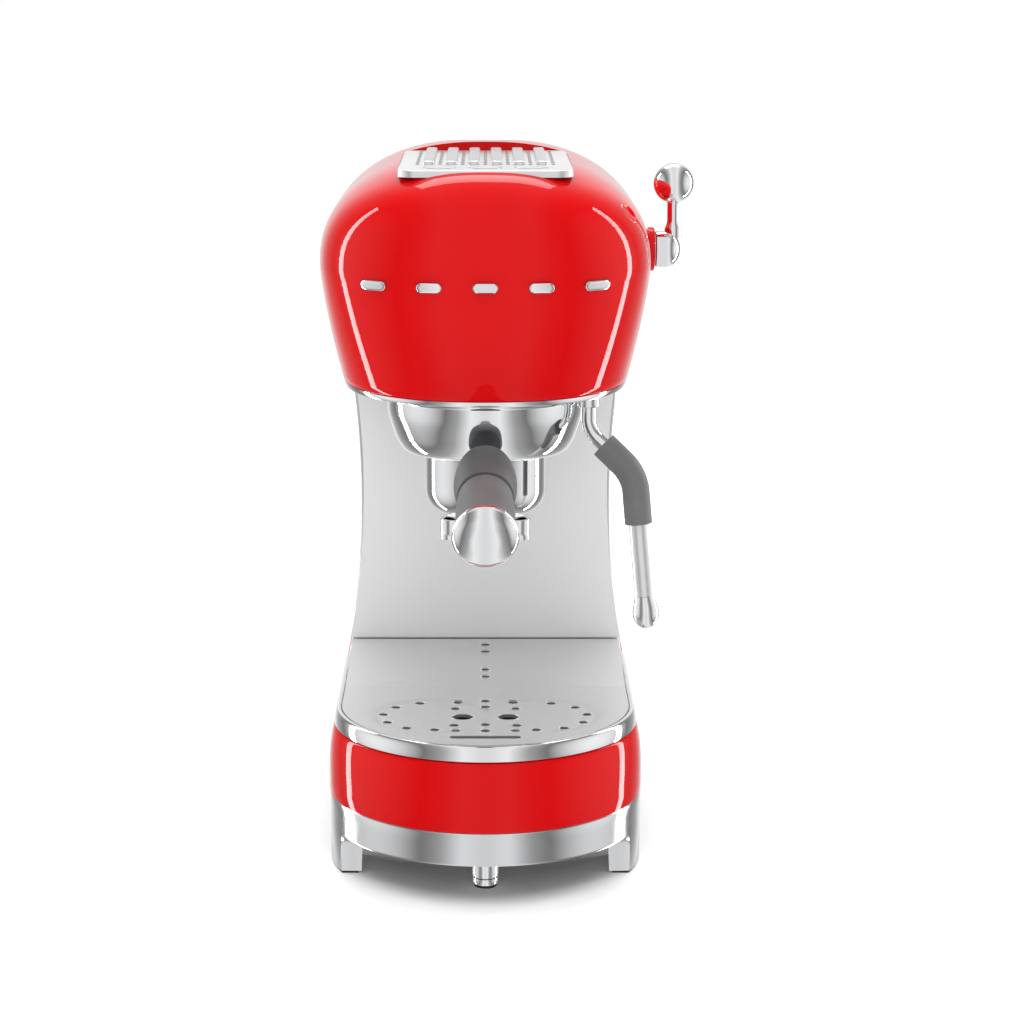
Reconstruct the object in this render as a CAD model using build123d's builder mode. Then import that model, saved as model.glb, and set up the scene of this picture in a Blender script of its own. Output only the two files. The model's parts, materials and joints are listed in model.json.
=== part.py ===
from build123d import *
import os
from math import atan2, cos, degrees, pi, radians, sin, sqrt

os.makedirs("parts", exist_ok=True)

# Pump espresso machine: round-nosed base with a drip tray, waisted column, bulbous head with a cup
# warmer, brew group with a bayonet portafilter, steam wand and steam lever, water tank behind.
# Millimetres, +Z up. The origin is the centre of the front foot's underside, on the table.
# -Y is the front and +X the right-hand side of someone standing in front of the machine.

# ------------------------------------------------------------------ driving dimensions
# levels above the table
pad_h = 1.0            # rubber pad under each foot
leg_h = 18.4           # clear height under the skirt
skirt_top = 34.0       # skirt meets the painted band
band_top = 66.0        # band meets the tray ring
tray_top = 73.4        # level part of the drip grate
chin_z = 225.0         # lower edge of the head
belly_z = 281.0        # widest level of the head
crown_z = 330.0        # highest point of the head

# base plan: half circle in front, straight sides, rounded back corners
base_r = 73.0          # half the base's width, and the radius of its nose
nose_y = 44.0          # centre of the round nose
base_back = 300.0      # back of the base
back_corner = 30.0     # plan radius of the back corners

# head plan and profile
head_half = 75.0       # half-width at the belly
chin_half = 64.6       # half-width at the chin, in front of the column
head_mid_y = 60.0      # where the plan's front and rear halves meet
head_front = -34.5     # foremost point, at belly level
chin_front = -24.0     # foremost point of the chin
head_back = 212.0      # back of the head
chin_spread = 0.075    # how much the chin widens towards the column
head_wall = 2.6        # wall of the head's casing
shoulder_power = 2.25  # roundness of the shoulders, seen from the front
brow_power = 4.0       # roundness of the front and back top edges, seen from the side

# column
column_front = 143.2   # face of the steel panel
column_waist = 62.3    # half-width at the waist
waist_z = 148.0        # level of the waist
column_foot = 69.6     # half-width at the bottom
column_head = 67.8     # half-width at the top
column_wall = 2.5
pump_y = 176.0         # the pump stands here, inside the column

# brew group, on a vertical axis
brew_y = 33.0
collar_top_r = 44.9
collar_low_r = 37.0
collar_z = 197.0       # underside of the collar
lock_r = 28.6          # portafilter rim
lug_r = 31.6           # portafilter lugs
bowl_r = 27.4          # portafilter bowl
bowl_bottom = 166.5
spout_half = 20.5
spout_bottom = 155.0

# portafilter handle, on an axis that falls towards the front
handle_y = -20.0
handle_z = 196.0
handle_fall = 14.2     # degrees below level
grip_start = 26.0      # distances along the handle axis
grip_end = 61.0
cap_end = 69.5
grip_r = 12.7
neck_r = 13.7
cap_r = 14.1
rod_r = 3.0

# steam wand
wand_x = 45.9
wand_y = 12.0
wand_heading = 16.5    # degrees towards the front from straight right
wand_tube_r = 3.3
wand_grip_r = 6.1
wand_sleeve_r = 4.4
wand_tip_r = 6.0

# steam lever, on a level axis across the machine
lever_y = 63.0
lever_z = 284.3
lever_reach = 29.9     # from the axis to the ball's centre
lever_hub_r = 8.25
lever_rod_r = 2.75
lever_ball_r = 9.2
lever_collar_r = 10.0
lever_shaft_r = 3.0

# cup warmer and buttons
plate_half = 38.0
plate_front = -12.0
plate_back = 112.0
plate_z = 325.8        # top of the plate between its ribs
plate_t = 3.0
plate_corner = 8.0
rib_count = 6
rib_pitch = 10.0
rib_w = 5.0
rib_h = 1.8
rib_front = 20.0
rib_back = 107.0
button_r = 7.0
button_y = 4.5
button_pitch = 20.0
button_travel = 1.0

# water tank
tank_half = 60.0
tank_front = 218.0
tank_back = 298.5
tank_top = 298.0
tank_wall = 2.4

# walls, fits and clearances
gap = 0.3              # between pieces that move apart
fit = 0.06             # running fit, on the radius
touch = 0.05           # between nested pieces that are fastened together
skirt_wall = 3.0
leg_wall = 9.0
band_shoulder = 2.7    # how far the band leans in at its top
band_inset = 5.2       # inside of the band, from the base outline
housing_wall = 2.2
sheet = 1.6            # drip grate sheet
floor_t = 2.5


# ------------------------------------------------------------------ helpers
def save(piece, name):
    """Label a finished piece and write it."""
    piece.part.label = name
    export_step(piece.part, f"parts/{name}.step")


def front_plane(y):
    """Upright plane facing the front at depth y; its sketches read as (x, z)."""
    return Plane(origin=(0, y, 0), x_dir=(1, 0, 0), z_dir=(0, -1, 0))


def side_plane(x):
    """Upright plane facing right at x; its sketches read as (y, z)."""
    return Plane(origin=(x, 0, 0), x_dir=(0, 1, 0), z_dir=(1, 0, 0))


def d_plan(inset):
    """Base outline drawn in by inset: round nose, straight sides, rounded back corners."""
    half = base_r - inset
    back = base_back - inset
    with BuildSketch() as plan:
        with Locations((0, nose_y)):
            Circle(half)
        with Locations((0, (nose_y + back) / 2)):
            Rectangle(2 * half, back - nose_y)
        fillet(plan.vertices().group_by(Axis.Y)[-1], back_corner - inset)
    return plan.sketch


def tray_plan(inset, back):
    """Front part of the base outline, cut off straight at y = back."""
    reach = base_r + back
    with BuildSketch() as plan:
        add(d_plan(inset))
        with Locations((0, back - reach / 2)):
            Rectangle(3 * base_r, reach, mode=Mode.INTERSECT)
    return plan.sketch


def signed_power(value, power):
    """Power of the size of a number, with its sign kept."""
    size = abs(value) ** power
    return size if value >= 0 else -size


def head_half_width(z):
    """Half-width of the head at a level: superellipse shoulders above the belly, a taper below."""
    if z >= belly_z:
        rise = (z - belly_z) / (crown_z - belly_z)
        return head_half * (1 - rise**shoulder_power) ** (1 / shoulder_power)
    drop = (belly_z - z) / (belly_z - chin_z)
    return head_half - (head_half - chin_half) * drop**1.4


def head_reach(z, belly_reach, chin_reach):
    """Distance from the plan's middle to its front or back at a level."""
    if z >= belly_z:
        rise = (z - belly_z) / (crown_z - belly_z)
        return belly_reach * (1 - rise**brow_power) ** (1 / brow_power)
    drop = (belly_z - z) / (belly_z - chin_z)
    return belly_reach - (belly_reach - chin_reach) * drop**1.4


def head_points(z, inset=0.0, count=32):
    """Points round one level cut of the head, from the back centre, counter-clockwise."""
    level = min(max((z - chin_z) / (belly_z - chin_z), 0.0), 1.0)
    front_power = 2.25 + 0.55 * level
    rear_power = 5.0
    half = head_half_width(z) - inset
    front = head_reach(z, head_mid_y - head_front, head_mid_y - chin_front) - inset
    rear = head_reach(z, head_back - head_mid_y, head_back - head_mid_y) - inset
    points = []
    for step in range(count):
        angle = pi / 2 + 2 * pi * step / count
        power, reach = (rear_power, rear) if sin(angle) > 0 else (front_power, front)
        y = head_mid_y + reach * signed_power(sin(angle), 2 / power)
        along = min(max((y - head_mid_y) / 90.0, 0.0), 1.0)
        spread = 1 + chin_spread * (1 - level) * along * along * (3 - 2 * along)
        points.append((half * spread * signed_power(cos(angle), 2 / power), y))
    return points


def head_levels(top_angle, steps):
    """Levels of the head's cuts, even along its curved shoulder up to top_angle degrees."""
    below = [chin_z + (belly_z - chin_z) * share for share in (0.0, 0.2, 0.4, 0.6, 0.8)]
    above = []
    for step in range(steps):
        angle = radians(top_angle * step / (steps - 1))
        above.append(belly_z + (crown_z - belly_z) * sin(angle) ** (2 / shoulder_power))
    return below + above


def head_face(z, inset=0.0):
    """Level cut of the head as a face lying at z = 0."""
    with BuildSketch() as cut:
        with BuildLine():
            Spline(*head_points(z, inset), periodic=True)
        make_face()
    return cut.sketch


def head_body(levels, inset=0.0, drop=0.0):
    """Solid head through its level cuts; drop lowers the cuts above the belly."""
    with BuildPart() as body:
        for z in levels:
            with BuildSketch(Plane.XY.offset(z - drop if z > belly_z else z)):
                add(head_face(z, inset))
        loft(ruled=True)
    return body.part


def column_outline(inset, low, high):
    """Waisted front outline of the column between two levels, read as (x, z)."""
    foot = column_foot - inset
    waist = column_waist - inset
    head = column_head - inset
    with BuildSketch() as outline:
        with BuildLine():
            ThreePointArc((foot, low), (waist, waist_z), (head, high))
            Line((head, high), (-head, high))
            ThreePointArc((-head, high), (-waist, waist_z), (-foot, low))
            Line((-foot, low), (foot, low))
        make_face()
    return outline.sketch


# ------------------------------------------------------------------ base
plate_floor = leg_h + 1.6
housing_z = plate_floor + floor_t
housing_inset = band_inset + gap
well_inset = housing_inset + housing_wall
column_bottom = band_top + gap
deck_top = band_top - gap
tray_back = column_front - 1.2
front_leg = (15.5, 45.5)
rear_leg = (base_back - 48.0, base_back + 1.0)
arch_r = 7.0


def leg_footprint(inset):
    """The four legs' footprint: stretches of the skirt's wall at the front and rear of each side."""
    with BuildSketch() as legs:
        for low, high in (front_leg, rear_leg):
            for side in (-1, 1):
                with Locations((side * (base_r * 0.78), (low + high) / 2)):
                    Rectangle(base_r * 0.9, high - low - 2 * inset)
    with BuildSketch() as ring:
        add(d_plan(0.3 + inset))
        add(d_plan(0.3 + leg_wall - inset), mode=Mode.SUBTRACT)
        add(legs.sketch, mode=Mode.INTERSECT)
    return ring.sketch


# Bright cast skirt that carries the machine; its wall runs down into four legs.
with BuildPart() as base_skirt:
    with BuildSketch(Plane.XY.offset(leg_h)):
        add(d_plan(0.3))
        add(d_plan(0.3 + skirt_wall), mode=Mode.SUBTRACT)
    extrude(amount=skirt_top - leg_h)
    with BuildSketch(Plane.XY.offset(leg_h)):
        add(d_plan(0.3 + skirt_wall))
        add(d_plan(0.3 + leg_wall), mode=Mode.SUBTRACT)
    extrude(amount=plate_floor - leg_h)
    with BuildSketch(Plane.XY.offset(pad_h)):
        add(leg_footprint(0))
    extrude(amount=leg_h - pad_h)
save(base_skirt, "base_skirt")

# Rubber pads glued under the four legs and the front foot.
front_foot_r = 5.9
with BuildPart() as foot_pads:
    with BuildSketch():
        add(leg_footprint(1.0))
    extrude(amount=pad_h)
    with BuildSketch():
        Circle(front_foot_r - 0.8)
    extrude(amount=pad_h)
save(foot_pads, "foot_pads")

# Turned front foot, screwed to the base plate.
with BuildPart() as front_foot:
    with BuildSketch(Plane.XY.offset(pad_h)):
        Circle(front_foot_r)
    extrude(amount=plate_floor - pad_h)
    fillet(front_foot.edges().group_by(Axis.Z)[0], 0.8)
save(front_foot, "front_foot")

# Base plate that closes the underside, with bosses for its screws.
screw_places = [(-50, 30), (50, 30), (-52, 150), (52, 150), (-52, 262), (52, 262)]
screw_r = 1.9
with BuildPart() as base_plate:
    with BuildSketch(Plane.XY.offset(plate_floor)):
        add(d_plan(0.3 + skirt_wall + touch))
    extrude(amount=floor_t)
    with BuildSketch(Plane.XY.offset(plate_floor)):
        with Locations(*screw_places):
            Circle(screw_r + touch)
    extrude(amount=floor_t, mode=Mode.SUBTRACT)
    with BuildSketch(Plane.XY.offset(plate_floor)):
        with Locations((0, 190), (0, 204), (0, 218)):
            SlotOverall(60, 4)
    extrude(amount=floor_t, mode=Mode.SUBTRACT)
save(base_plate, "base_plate")

# Painted band round the base, leaning in at its top edge.
rocker_x = 30.0
gland_x = -30.0
rear_fit_z = 50.0
rocker_half = (7.0, 10.5)
gland_r = 7.0
with BuildPart() as base_band:
    band_cuts = ((skirt_top, 0.0), (skirt_top + 14, 0.1), (band_top - 6, 1.1), (band_top, band_shoulder))
    for z, inset in band_cuts:
        with BuildSketch(Plane.XY.offset(z)):
            add(d_plan(inset))
    loft()
    with BuildSketch(Plane.XY.offset(skirt_top)):
        add(d_plan(band_inset))
    extrude(amount=band_top - skirt_top, mode=Mode.SUBTRACT)
    with BuildSketch(front_plane(base_back + 5)):
        with Locations((rocker_x, rear_fit_z)):
            Rectangle(2 * rocker_half[0] + 2 * touch, 2 * rocker_half[1] + 2 * touch)
        with Locations((gland_x, rear_fit_z)):
            Circle(gland_r + touch)
    extrude(amount=5 + band_inset + 1, mode=Mode.SUBTRACT)
save(base_band, "base_band")

# Inner housing: a well for the drip tray in front, a deck for the column and tank behind.
well_floor = 40.0
seat_y = 236.0
seat_r = 11.0
with BuildPart() as base_housing:
    with BuildSketch(Plane.XY.offset(housing_z)):
        add(d_plan(housing_inset))
    extrude(amount=deck_top - housing_z)
    with BuildSketch(Plane.XY.offset(well_floor + floor_t)):
        add(tray_plan(well_inset, tray_back))
    extrude(amount=deck_top - well_floor, mode=Mode.SUBTRACT)
    with BuildSketch(Plane.XY.offset(housing_z)):
        add(tray_plan(well_inset, tray_back))
    extrude(amount=well_floor - housing_z, mode=Mode.SUBTRACT)
    with BuildSketch(Plane.XY.offset(housing_z)):
        add(d_plan(well_inset))
        with Locations((0, 0)):
            Rectangle(3 * base_r, 2 * (tray_back + housing_wall), mode=Mode.SUBTRACT)
    extrude(amount=deck_top - floor_t - housing_z, mode=Mode.SUBTRACT)
    with BuildSketch(Plane.XY.offset(deck_top - floor_t)):
        with Locations((0, pump_y)):
            SlotOverall(40, 14)
        with Locations((0, seat_y)):
            Circle(seat_r + touch)
    extrude(amount=floor_t, mode=Mode.SUBTRACT)
    with BuildSketch(front_plane(base_back)):
        with Locations((rocker_x, rear_fit_z)):
            Rectangle(2 * rocker_half[0] + 2 * touch, 2 * rocker_half[1] + 2 * touch)
        with Locations((gland_x, rear_fit_z)):
            Circle(gland_r + touch)
    extrude(amount=well_inset + 1, mode=Mode.SUBTRACT)
    for x, y in screw_places:
        roof = well_floor if y < tray_back else deck_top - floor_t
        with BuildSketch(Plane.XY.offset(housing_z)):
            with Locations((x, y)):
                Circle(4.2)
                Circle(screw_r - 0.3, mode=Mode.SUBTRACT)
        extrude(amount=roof - housing_z)
save(base_housing, "base_housing")

# ------------------------------------------------------------------ drip tray
flange_z = band_top + gap
rim_z = flange_z + 1.9
tub_top = tray_top - sheet - 0.2
tub_floor = 44.0
tub_inset = well_inset + gap
tub_wall = 2.0
ring_inner = 5.7

# Moulded tub with a flange that rests on the band and a rim inside the ring.
with BuildPart() as drip_tray:
    with BuildSketch(Plane.XY.offset(tub_floor)):
        add(tray_plan(tub_inset, tray_back - gap))
    extrude(amount=flange_z - tub_floor)
    with BuildSketch(Plane.XY.offset(flange_z)):
        add(tray_plan(3.9, tray_back - gap))
    extrude(amount=rim_z - flange_z)
    with BuildSketch(Plane.XY.offset(rim_z)):
        add(tray_plan(ring_inner + touch, tray_back - gap))
    extrude(amount=tub_top - rim_z)
    with BuildSketch(Plane.XY.offset(tub_floor + tub_wall)):
        add(tray_plan(tub_inset + tub_wall, tray_back - gap - tub_wall))
    extrude(amount=tub_top - tub_floor, mode=Mode.SUBTRACT)
save(drip_tray, "drip_tray")

# Bevelled bright ring seated on the tub's flange, open at the back.
with BuildPart() as tray_ring:
    for z, inset in ((flange_z, 2.4), (tray_top, 4.4)):
        with BuildSketch(Plane.XY.offset(z)):
            add(d_plan(inset))
    loft()
    with BuildSketch(Plane.XY.offset(flange_z)):
        add(d_plan(3.9 - touch))
    extrude(amount=rim_z - flange_z, mode=Mode.SUBTRACT)
    with BuildSketch(Plane.XY.offset(rim_z)):
        add(d_plan(ring_inner))
    extrude(amount=tray_top - rim_z, mode=Mode.SUBTRACT)
    with BuildSketch(Plane.XY.offset(flange_z)):
        with Locations((0, tray_back - gap + base_back)):
            Rectangle(3 * base_r, 2 * base_back)
    extrude(amount=tray_top - flange_z, mode=Mode.SUBTRACT)
save(tray_ring, "tray_ring")

# Perforated sheet grate: level in front, rising behind the bend up to the column.
grate_inset = ring_inner + gap
bend_y = 74.0
rise = 6.0
drain_pairs = (4.3, 43.5, 92.5, 128.0)
drain_r = 2.4
cup_x = 25.0
cup_y = 25.0
cup_drain_ring = 22.2
sink_r = 5.0
sink_x = 10.5
slot_y = -10.6
slot_size = (32.0, 4.3)
grate_back = tray_back - gap
grate_under = tray_top - sheet
with BuildPart() as drip_grate:
    with BuildSketch(side_plane(-base_r)):
        with BuildLine():
            Polyline(
                (nose_y - base_r, grate_under),
                (grate_back, grate_under),
                (grate_back, tray_top + rise),
                (bend_y, tray_top),
                (nose_y - base_r, tray_top),
                close=True,
            )
        make_face()
    extrude(amount=2 * base_r)
    with BuildSketch(side_plane(-base_r + grate_inset + sheet)):
        with BuildLine():
            Polyline(
                (bend_y, grate_under - 1),
                (grate_back - sheet, grate_under - 1),
                (grate_back - sheet, tray_top + rise - sheet),
                (bend_y, tray_top - sheet),
                close=True,
            )
        make_face()
    extrude(amount=2 * (base_r - grate_inset - sheet), mode=Mode.SUBTRACT)
    with BuildSketch(Plane.XY.offset(grate_under)):
        add(tray_plan(grate_inset, grate_back))
    extrude(amount=tray_top, mode=Mode.INTERSECT)
    with BuildSketch(Plane.XY.offset(grate_under - 1)):
        for pair in drain_pairs:
            with Locations((0, pair - 4.9), (0, pair + 4.9)):
                Circle(drain_r)
        for side in (-1, 1):
            for x, y in ((13.6, 0.0), (14.3, 10.0), (14.1, 37.5), (13.0, 48.0)):
                with Locations((side * x, y)):
                    Circle(drain_r)
            for turn in range(6):
                angle = radians(-95 + 34 * turn)
                x = cup_x + cup_drain_ring * cos(angle)
                with Locations((side * x, cup_y + cup_drain_ring * sin(angle))):
                    Circle(drain_r)
            with Locations((side * sink_x, cup_y - 1.5)):
                Circle(sink_r)
        with Locations((0, slot_y)):
            SlotOverall(*slot_size)
    extrude(amount=tray_top, mode=Mode.SUBTRACT)
save(drip_grate, "drip_grate")

# ------------------------------------------------------------------ column
shell_front = column_front + 1.4
shell_back = head_back
column_top = chin_z - gap
cover_t = 2.5

# Silver housing: waisted sides and front, open behind.
with BuildPart() as column_shell:
    with BuildSketch(front_plane(shell_front)):
        add(column_outline(0, column_bottom, column_top))
    extrude(amount=-(shell_back - shell_front))
    fillet(column_shell.faces().sort_by(Axis.Y)[0].edges().filter_by(Axis.X, reverse=True), 2.2)
    with BuildSketch(front_plane(shell_front + column_wall)):
        add(column_outline(column_wall, column_bottom - 1, column_top + 1))
    extrude(amount=-(shell_back - shell_front), mode=Mode.SUBTRACT)
save(column_shell, "column_shell")

# Brushed steel panel on the front of the housing, above the grate.
with BuildPart() as column_panel:
    with BuildSketch(front_plane(column_front)):
        add(column_outline(1.6, tray_top + rise + 0.4, column_top))
    extrude(amount=-(shell_front - touch - column_front))
save(column_panel, "column_panel")

# Moulded cover on the back of the housing, with four screws.
cover_screws_at = [(-50, 82), (50, 82), (-50, 212), (50, 212)]
with BuildPart() as rear_cover:
    with BuildSketch(front_plane(shell_back + touch)):
        add(column_outline(0, column_bottom, column_top))
    extrude(amount=-cover_t)
    with BuildSketch(front_plane(shell_back)):
        with Locations(*cover_screws_at):
            Circle(screw_r + touch)
    extrude(amount=-cover_t - 1, mode=Mode.SUBTRACT)
save(rear_cover, "rear_cover")

# Screws: six hold the base plate to the housing, four hold the rear cover.
with BuildPart() as housing_screws:
    for radius, low, high in (
        (3.4, plate_floor - 1.4, plate_floor),
        (screw_r - 0.4, plate_floor, housing_z + 9),
    ):
        with BuildSketch(Plane.XY.offset(low)):
            with Locations(*screw_places):
                Circle(radius)
        extrude(amount=high - low)
    back_face = shell_back + touch + cover_t
    for radius, near, far in (
        (3.4, back_face, back_face + 1.4),
        (screw_r - 0.4, shell_back - 8, back_face),
    ):
        with BuildSketch(front_plane(far)):
            with Locations(*cover_screws_at):
                Circle(radius)
        extrude(amount=far - near)
save(housing_screws, "housing_screws")

# Steel frame inside the column: an upright plate with two shelves that hold the pump.
frame_y = shell_back - 4.0
shelf_t = 1.5
pump_low = 98.0
pump_high = 152.0
frame_half = 52.0
with BuildPart() as inner_frame:
    with BuildSketch(front_plane(frame_y)):
        with Locations((0, (column_bottom + column_top) / 2)):
            Rectangle(2 * frame_half, column_top - column_bottom - 2 * gap)
    extrude(amount=shelf_t)
    for level in (pump_low - 8, pump_high + 6.5):
        with BuildSketch(Plane.XY.offset(level)):
            with Locations((0, (frame_y + pump_y) / 2 - 12)):
                Rectangle(44, frame_y - pump_y + 22)
            with Locations((0, pump_y)):
                Circle(9, mode=Mode.SUBTRACT)
        extrude(amount=shelf_t)
    with BuildSketch(front_plane(frame_y)):
        with Locations(*cover_screws_at):
            Circle(screw_r - 0.3)
    extrude(amount=shelf_t, mode=Mode.SUBTRACT)
save(inner_frame, "inner_frame")

# Vibration pump: coil block with a valve barrel at each end.
with BuildPart() as pump:
    with BuildSketch(Plane.XY.offset(pump_low)):
        with Locations((0, pump_y)):
            RectangleRounded(40, 38, 4)
    extrude(amount=pump_high - pump_low)
    for low, high in ((pump_low - 14, pump_low), (pump_high, pump_high + 14)):
        with BuildSketch(Plane.XY.offset(low)):
            with Locations((0, pump_y)):
                Circle(7)
        extrude(amount=high - low)
save(pump, "pump")

# Rubber bushes between the pump and the frame's shelves.
with BuildPart() as pump_mounts:
    for low in (pump_low - 8 + shelf_t, pump_high):
        with BuildSketch(Plane.XY.offset(low)):
            with Locations((0, pump_y)):
                Circle(13)
                Circle(7 + touch, mode=Mode.SUBTRACT)
        extrude(amount=6.5)
save(pump_mounts, "pump_mounts")

# ------------------------------------------------------------------ head
recess_floor = plate_z - plate_t
recess_margin = 0.4
pan_wall = 2.6
board_z = 311.0
board_t = 1.6
board_posts = [(-26, -1), (26, -1), (-26, 12), (26, 12)]


def plate_plan(margin):
    """Cup-warmer outline, drawn out by margin."""
    with BuildSketch() as plan:
        with Locations((0, (plate_front + plate_back) / 2)):
            RectangleRounded(
                2 * (plate_half + margin), plate_back - plate_front + 2 * margin, plate_corner + margin
            )
    return plan.sketch


def button_places():
    """Centres of the three buttons in plan."""
    return [(step * button_pitch, button_y) for step in (-1, 0, 1)]


with BuildPart() as head_cavity:
    add(head_body(head_levels(74, 11), head_wall, head_wall))
    with BuildSketch(Plane.XY.offset(chin_z - 1)):
        add(head_face(chin_z, head_wall))
    extrude(amount=1)
    with BuildSketch(Plane.XY.offset(recess_floor - pan_wall)):
        add(plate_plan(recess_margin + pan_wall))
    extrude(amount=crown_z - recess_floor, mode=Mode.SUBTRACT)

# Enamelled head casing, open below, with a recess for the cup warmer on top.
stem_r = 2.5
with BuildPart() as head_shell:
    add(head_body(head_levels(86, 15)))
    add(head_cavity.part, mode=Mode.SUBTRACT)
    with BuildSketch(Plane.XY.offset(recess_floor)):
        add(plate_plan(recess_margin))
    extrude(amount=crown_z - recess_floor, mode=Mode.SUBTRACT)
    with BuildSketch(Plane.XY.offset(recess_floor - pan_wall)):
        with Locations(*button_places()):
            Circle(stem_r + 0.5)
    extrude(amount=pan_wall, mode=Mode.SUBTRACT)
    with BuildSketch(Plane.XY.offset(board_z + board_t)):
        with Locations(*board_posts):
            Circle(2.5)
    extrude(amount=recess_floor - pan_wall - board_z - board_t)
    with BuildSketch(side_plane(head_half - 0.6)):
        with Locations((lever_y, lever_z)):
            Circle(lever_collar_r + 0.2)
    extrude(amount=10, mode=Mode.SUBTRACT)
    with BuildSketch(side_plane(head_half - 12)):
        with Locations((lever_y, lever_z)):
            Circle(lever_collar_r - 1.2)
    extrude(amount=14, mode=Mode.SUBTRACT)
save(head_shell, "head_shell")

# Moulded underside that closes the head round the group, the wand and the hoses.
underside_t = 2.5
group_top_r = 30.0
with BuildPart() as head_underside:
    with BuildSketch(Plane.XY.offset(chin_z)):
        add(head_face(chin_z, head_wall + 1.8))
        with Locations((0, brew_y)):
            Circle(group_top_r + gap, mode=Mode.SUBTRACT)
        with Locations((wand_x, wand_y)):
            Circle(wand_tube_r + gap, mode=Mode.SUBTRACT)
        with Locations((0, pump_y)):
            Circle(8, mode=Mode.SUBTRACT)
    extrude(amount=underside_t)
save(head_underside, "head_underside")

# Bright strip under the chin, open where the column stands.
trim_h = 2.3
with BuildPart() as head_trim:
    with BuildSketch(Plane.XY.offset(chin_z - trim_h)):
        add(head_face(chin_z, 0.3))
        add(head_face(chin_z, 3.4), mode=Mode.SUBTRACT)
        with Locations((0, column_front - gap + base_back)):
            Rectangle(4 * base_r, 2 * base_back, mode=Mode.SUBTRACT)
    extrude(amount=trim_h)
save(head_trim, "head_trim")

# Five plain bright pills across the face, following its curve.
emblem_z = 278.0
emblem_pitch = 24.0
emblem_size = (11.0, 4.4)
emblem_t = 2.2
face_levels = head_levels(86, 15)[3:8]
with BuildPart() as face_emblem:
    with BuildSketch(front_plane(head_front - 10)):
        with Locations(*[(step * emblem_pitch, emblem_z) for step in range(-2, 3)]):
            SlotOverall(*emblem_size)
    extrude(amount=-60)
    add(head_body(face_levels, -emblem_t), mode=Mode.INTERSECT)
    add(head_body(face_levels, -0.1), mode=Mode.SUBTRACT)
save(face_emblem, "face_emblem")

# Steel cup warmer: plate with raised ribs, drain slots between them, and three button holes.
slot_count = 9
with BuildPart() as cup_warmer:
    with BuildSketch(Plane.XY.offset(recess_floor)):
        add(plate_plan(0))
    extrude(amount=plate_t)
    fillet(cup_warmer.faces().sort_by(Axis.Z)[-1].edges(), 0.5)
    ribs = [(rib - (rib_count - 1) / 2) * rib_pitch for rib in range(rib_count)]
    with BuildSketch(Plane.XY.offset(plate_z)):
        with Locations(*[(x, (rib_front + rib_back) / 2) for x in ribs]):
            RectangleRounded(rib_w, rib_back - rib_front, 1.5)
    extrude(amount=rib_h)
    slot_pitch = (rib_back - rib_front) / slot_count
    with BuildSketch(Plane.XY.offset(recess_floor)):
        for x in [ribs[0] - rib_pitch] + ribs:
            for step in range(slot_count):
                with Locations((x + rib_pitch / 2, rib_front + slot_pitch * (step + 0.5))):
                    SlotOverall(slot_pitch - 3.4, 1.6, rotation=90)
    extrude(amount=plate_t, mode=Mode.SUBTRACT)
    with BuildSketch(Plane.XY.offset(recess_floor)):
        with Locations(*button_places()):
            Circle(button_r + fit)
    extrude(amount=plate_t, mode=Mode.SUBTRACT)
save(cup_warmer, "cup_warmer")

# Push buttons, each with a stem that reaches through the casing to its dome on the board.
cap_low = recess_floor + button_travel + 0.3
stem_low = board_z + board_t + 1.8 + button_travel + 0.2
for place, side in zip(button_places(), ("left", "middle", "right")):
    with BuildPart() as button:
        with BuildSketch(Plane.XY.offset(cap_low)):
            with Locations(place):
                Circle(button_r)
        extrude(amount=plate_z + 0.4 - cap_low)
        fillet(button.faces().sort_by(Axis.Z)[-1].edges(), 0.4)
        with BuildSketch(Plane.XY.offset(stem_low)):
            with Locations(place):
                Circle(stem_r)
        extrude(amount=cap_low - stem_low)
    save(button, f"button_{side}")

# Control board hung under the casing's pan, with a silicone dome under each button.
with BuildPart() as control_board:
    with BuildSketch(Plane.XY.offset(board_z)):
        with Locations((0, 5.5)):
            RectangleRounded(62, 22, 2)
    extrude(amount=board_t)
    with BuildSketch(Plane.XY.offset(board_z - 3)):
        with Locations((-12, 5), (8, 6)):
            Rectangle(9, 7)
    extrude(amount=3)
save(control_board, "control_board")

with BuildPart() as button_domes:
    with BuildSketch(Plane.XY.offset(board_z + board_t)):
        with Locations(*button_places()):
            Circle(3.6)
    extrude(amount=1.8, taper=20)
save(button_domes, "button_domes")

# ------------------------------------------------------------------ steam lever
seat_x = head_half - 0.6
collar_face = seat_x + 3.0
hub_low = collar_face + gap
hub_barrel = 5.2
hub_dome = 6.5
rod_x = hub_low + hub_barrel + 3.0
lever_axis = Axis((0, lever_y, lever_z), (1, 0, 0))
with BuildPart() as lever_collar:
    for radius, low, high in (
        (lever_collar_r - 1.2 - touch, seat_x - 9, seat_x),
        (lever_collar_r, seat_x, collar_face),
    ):
        with BuildSketch(side_plane(low)):
            with Locations((lever_y, lever_z)):
                Circle(radius)
        extrude(amount=high - low)
    fillet(lever_collar.edges().group_by(Axis.X)[-1], 0.8)
    with BuildSketch(side_plane(seat_x - 9)):
        with Locations((lever_y, lever_z)):
            Circle(lever_shaft_r + fit)
    extrude(amount=collar_face - seat_x + 9, mode=Mode.SUBTRACT)
save(lever_collar, "lever_collar")

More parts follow.
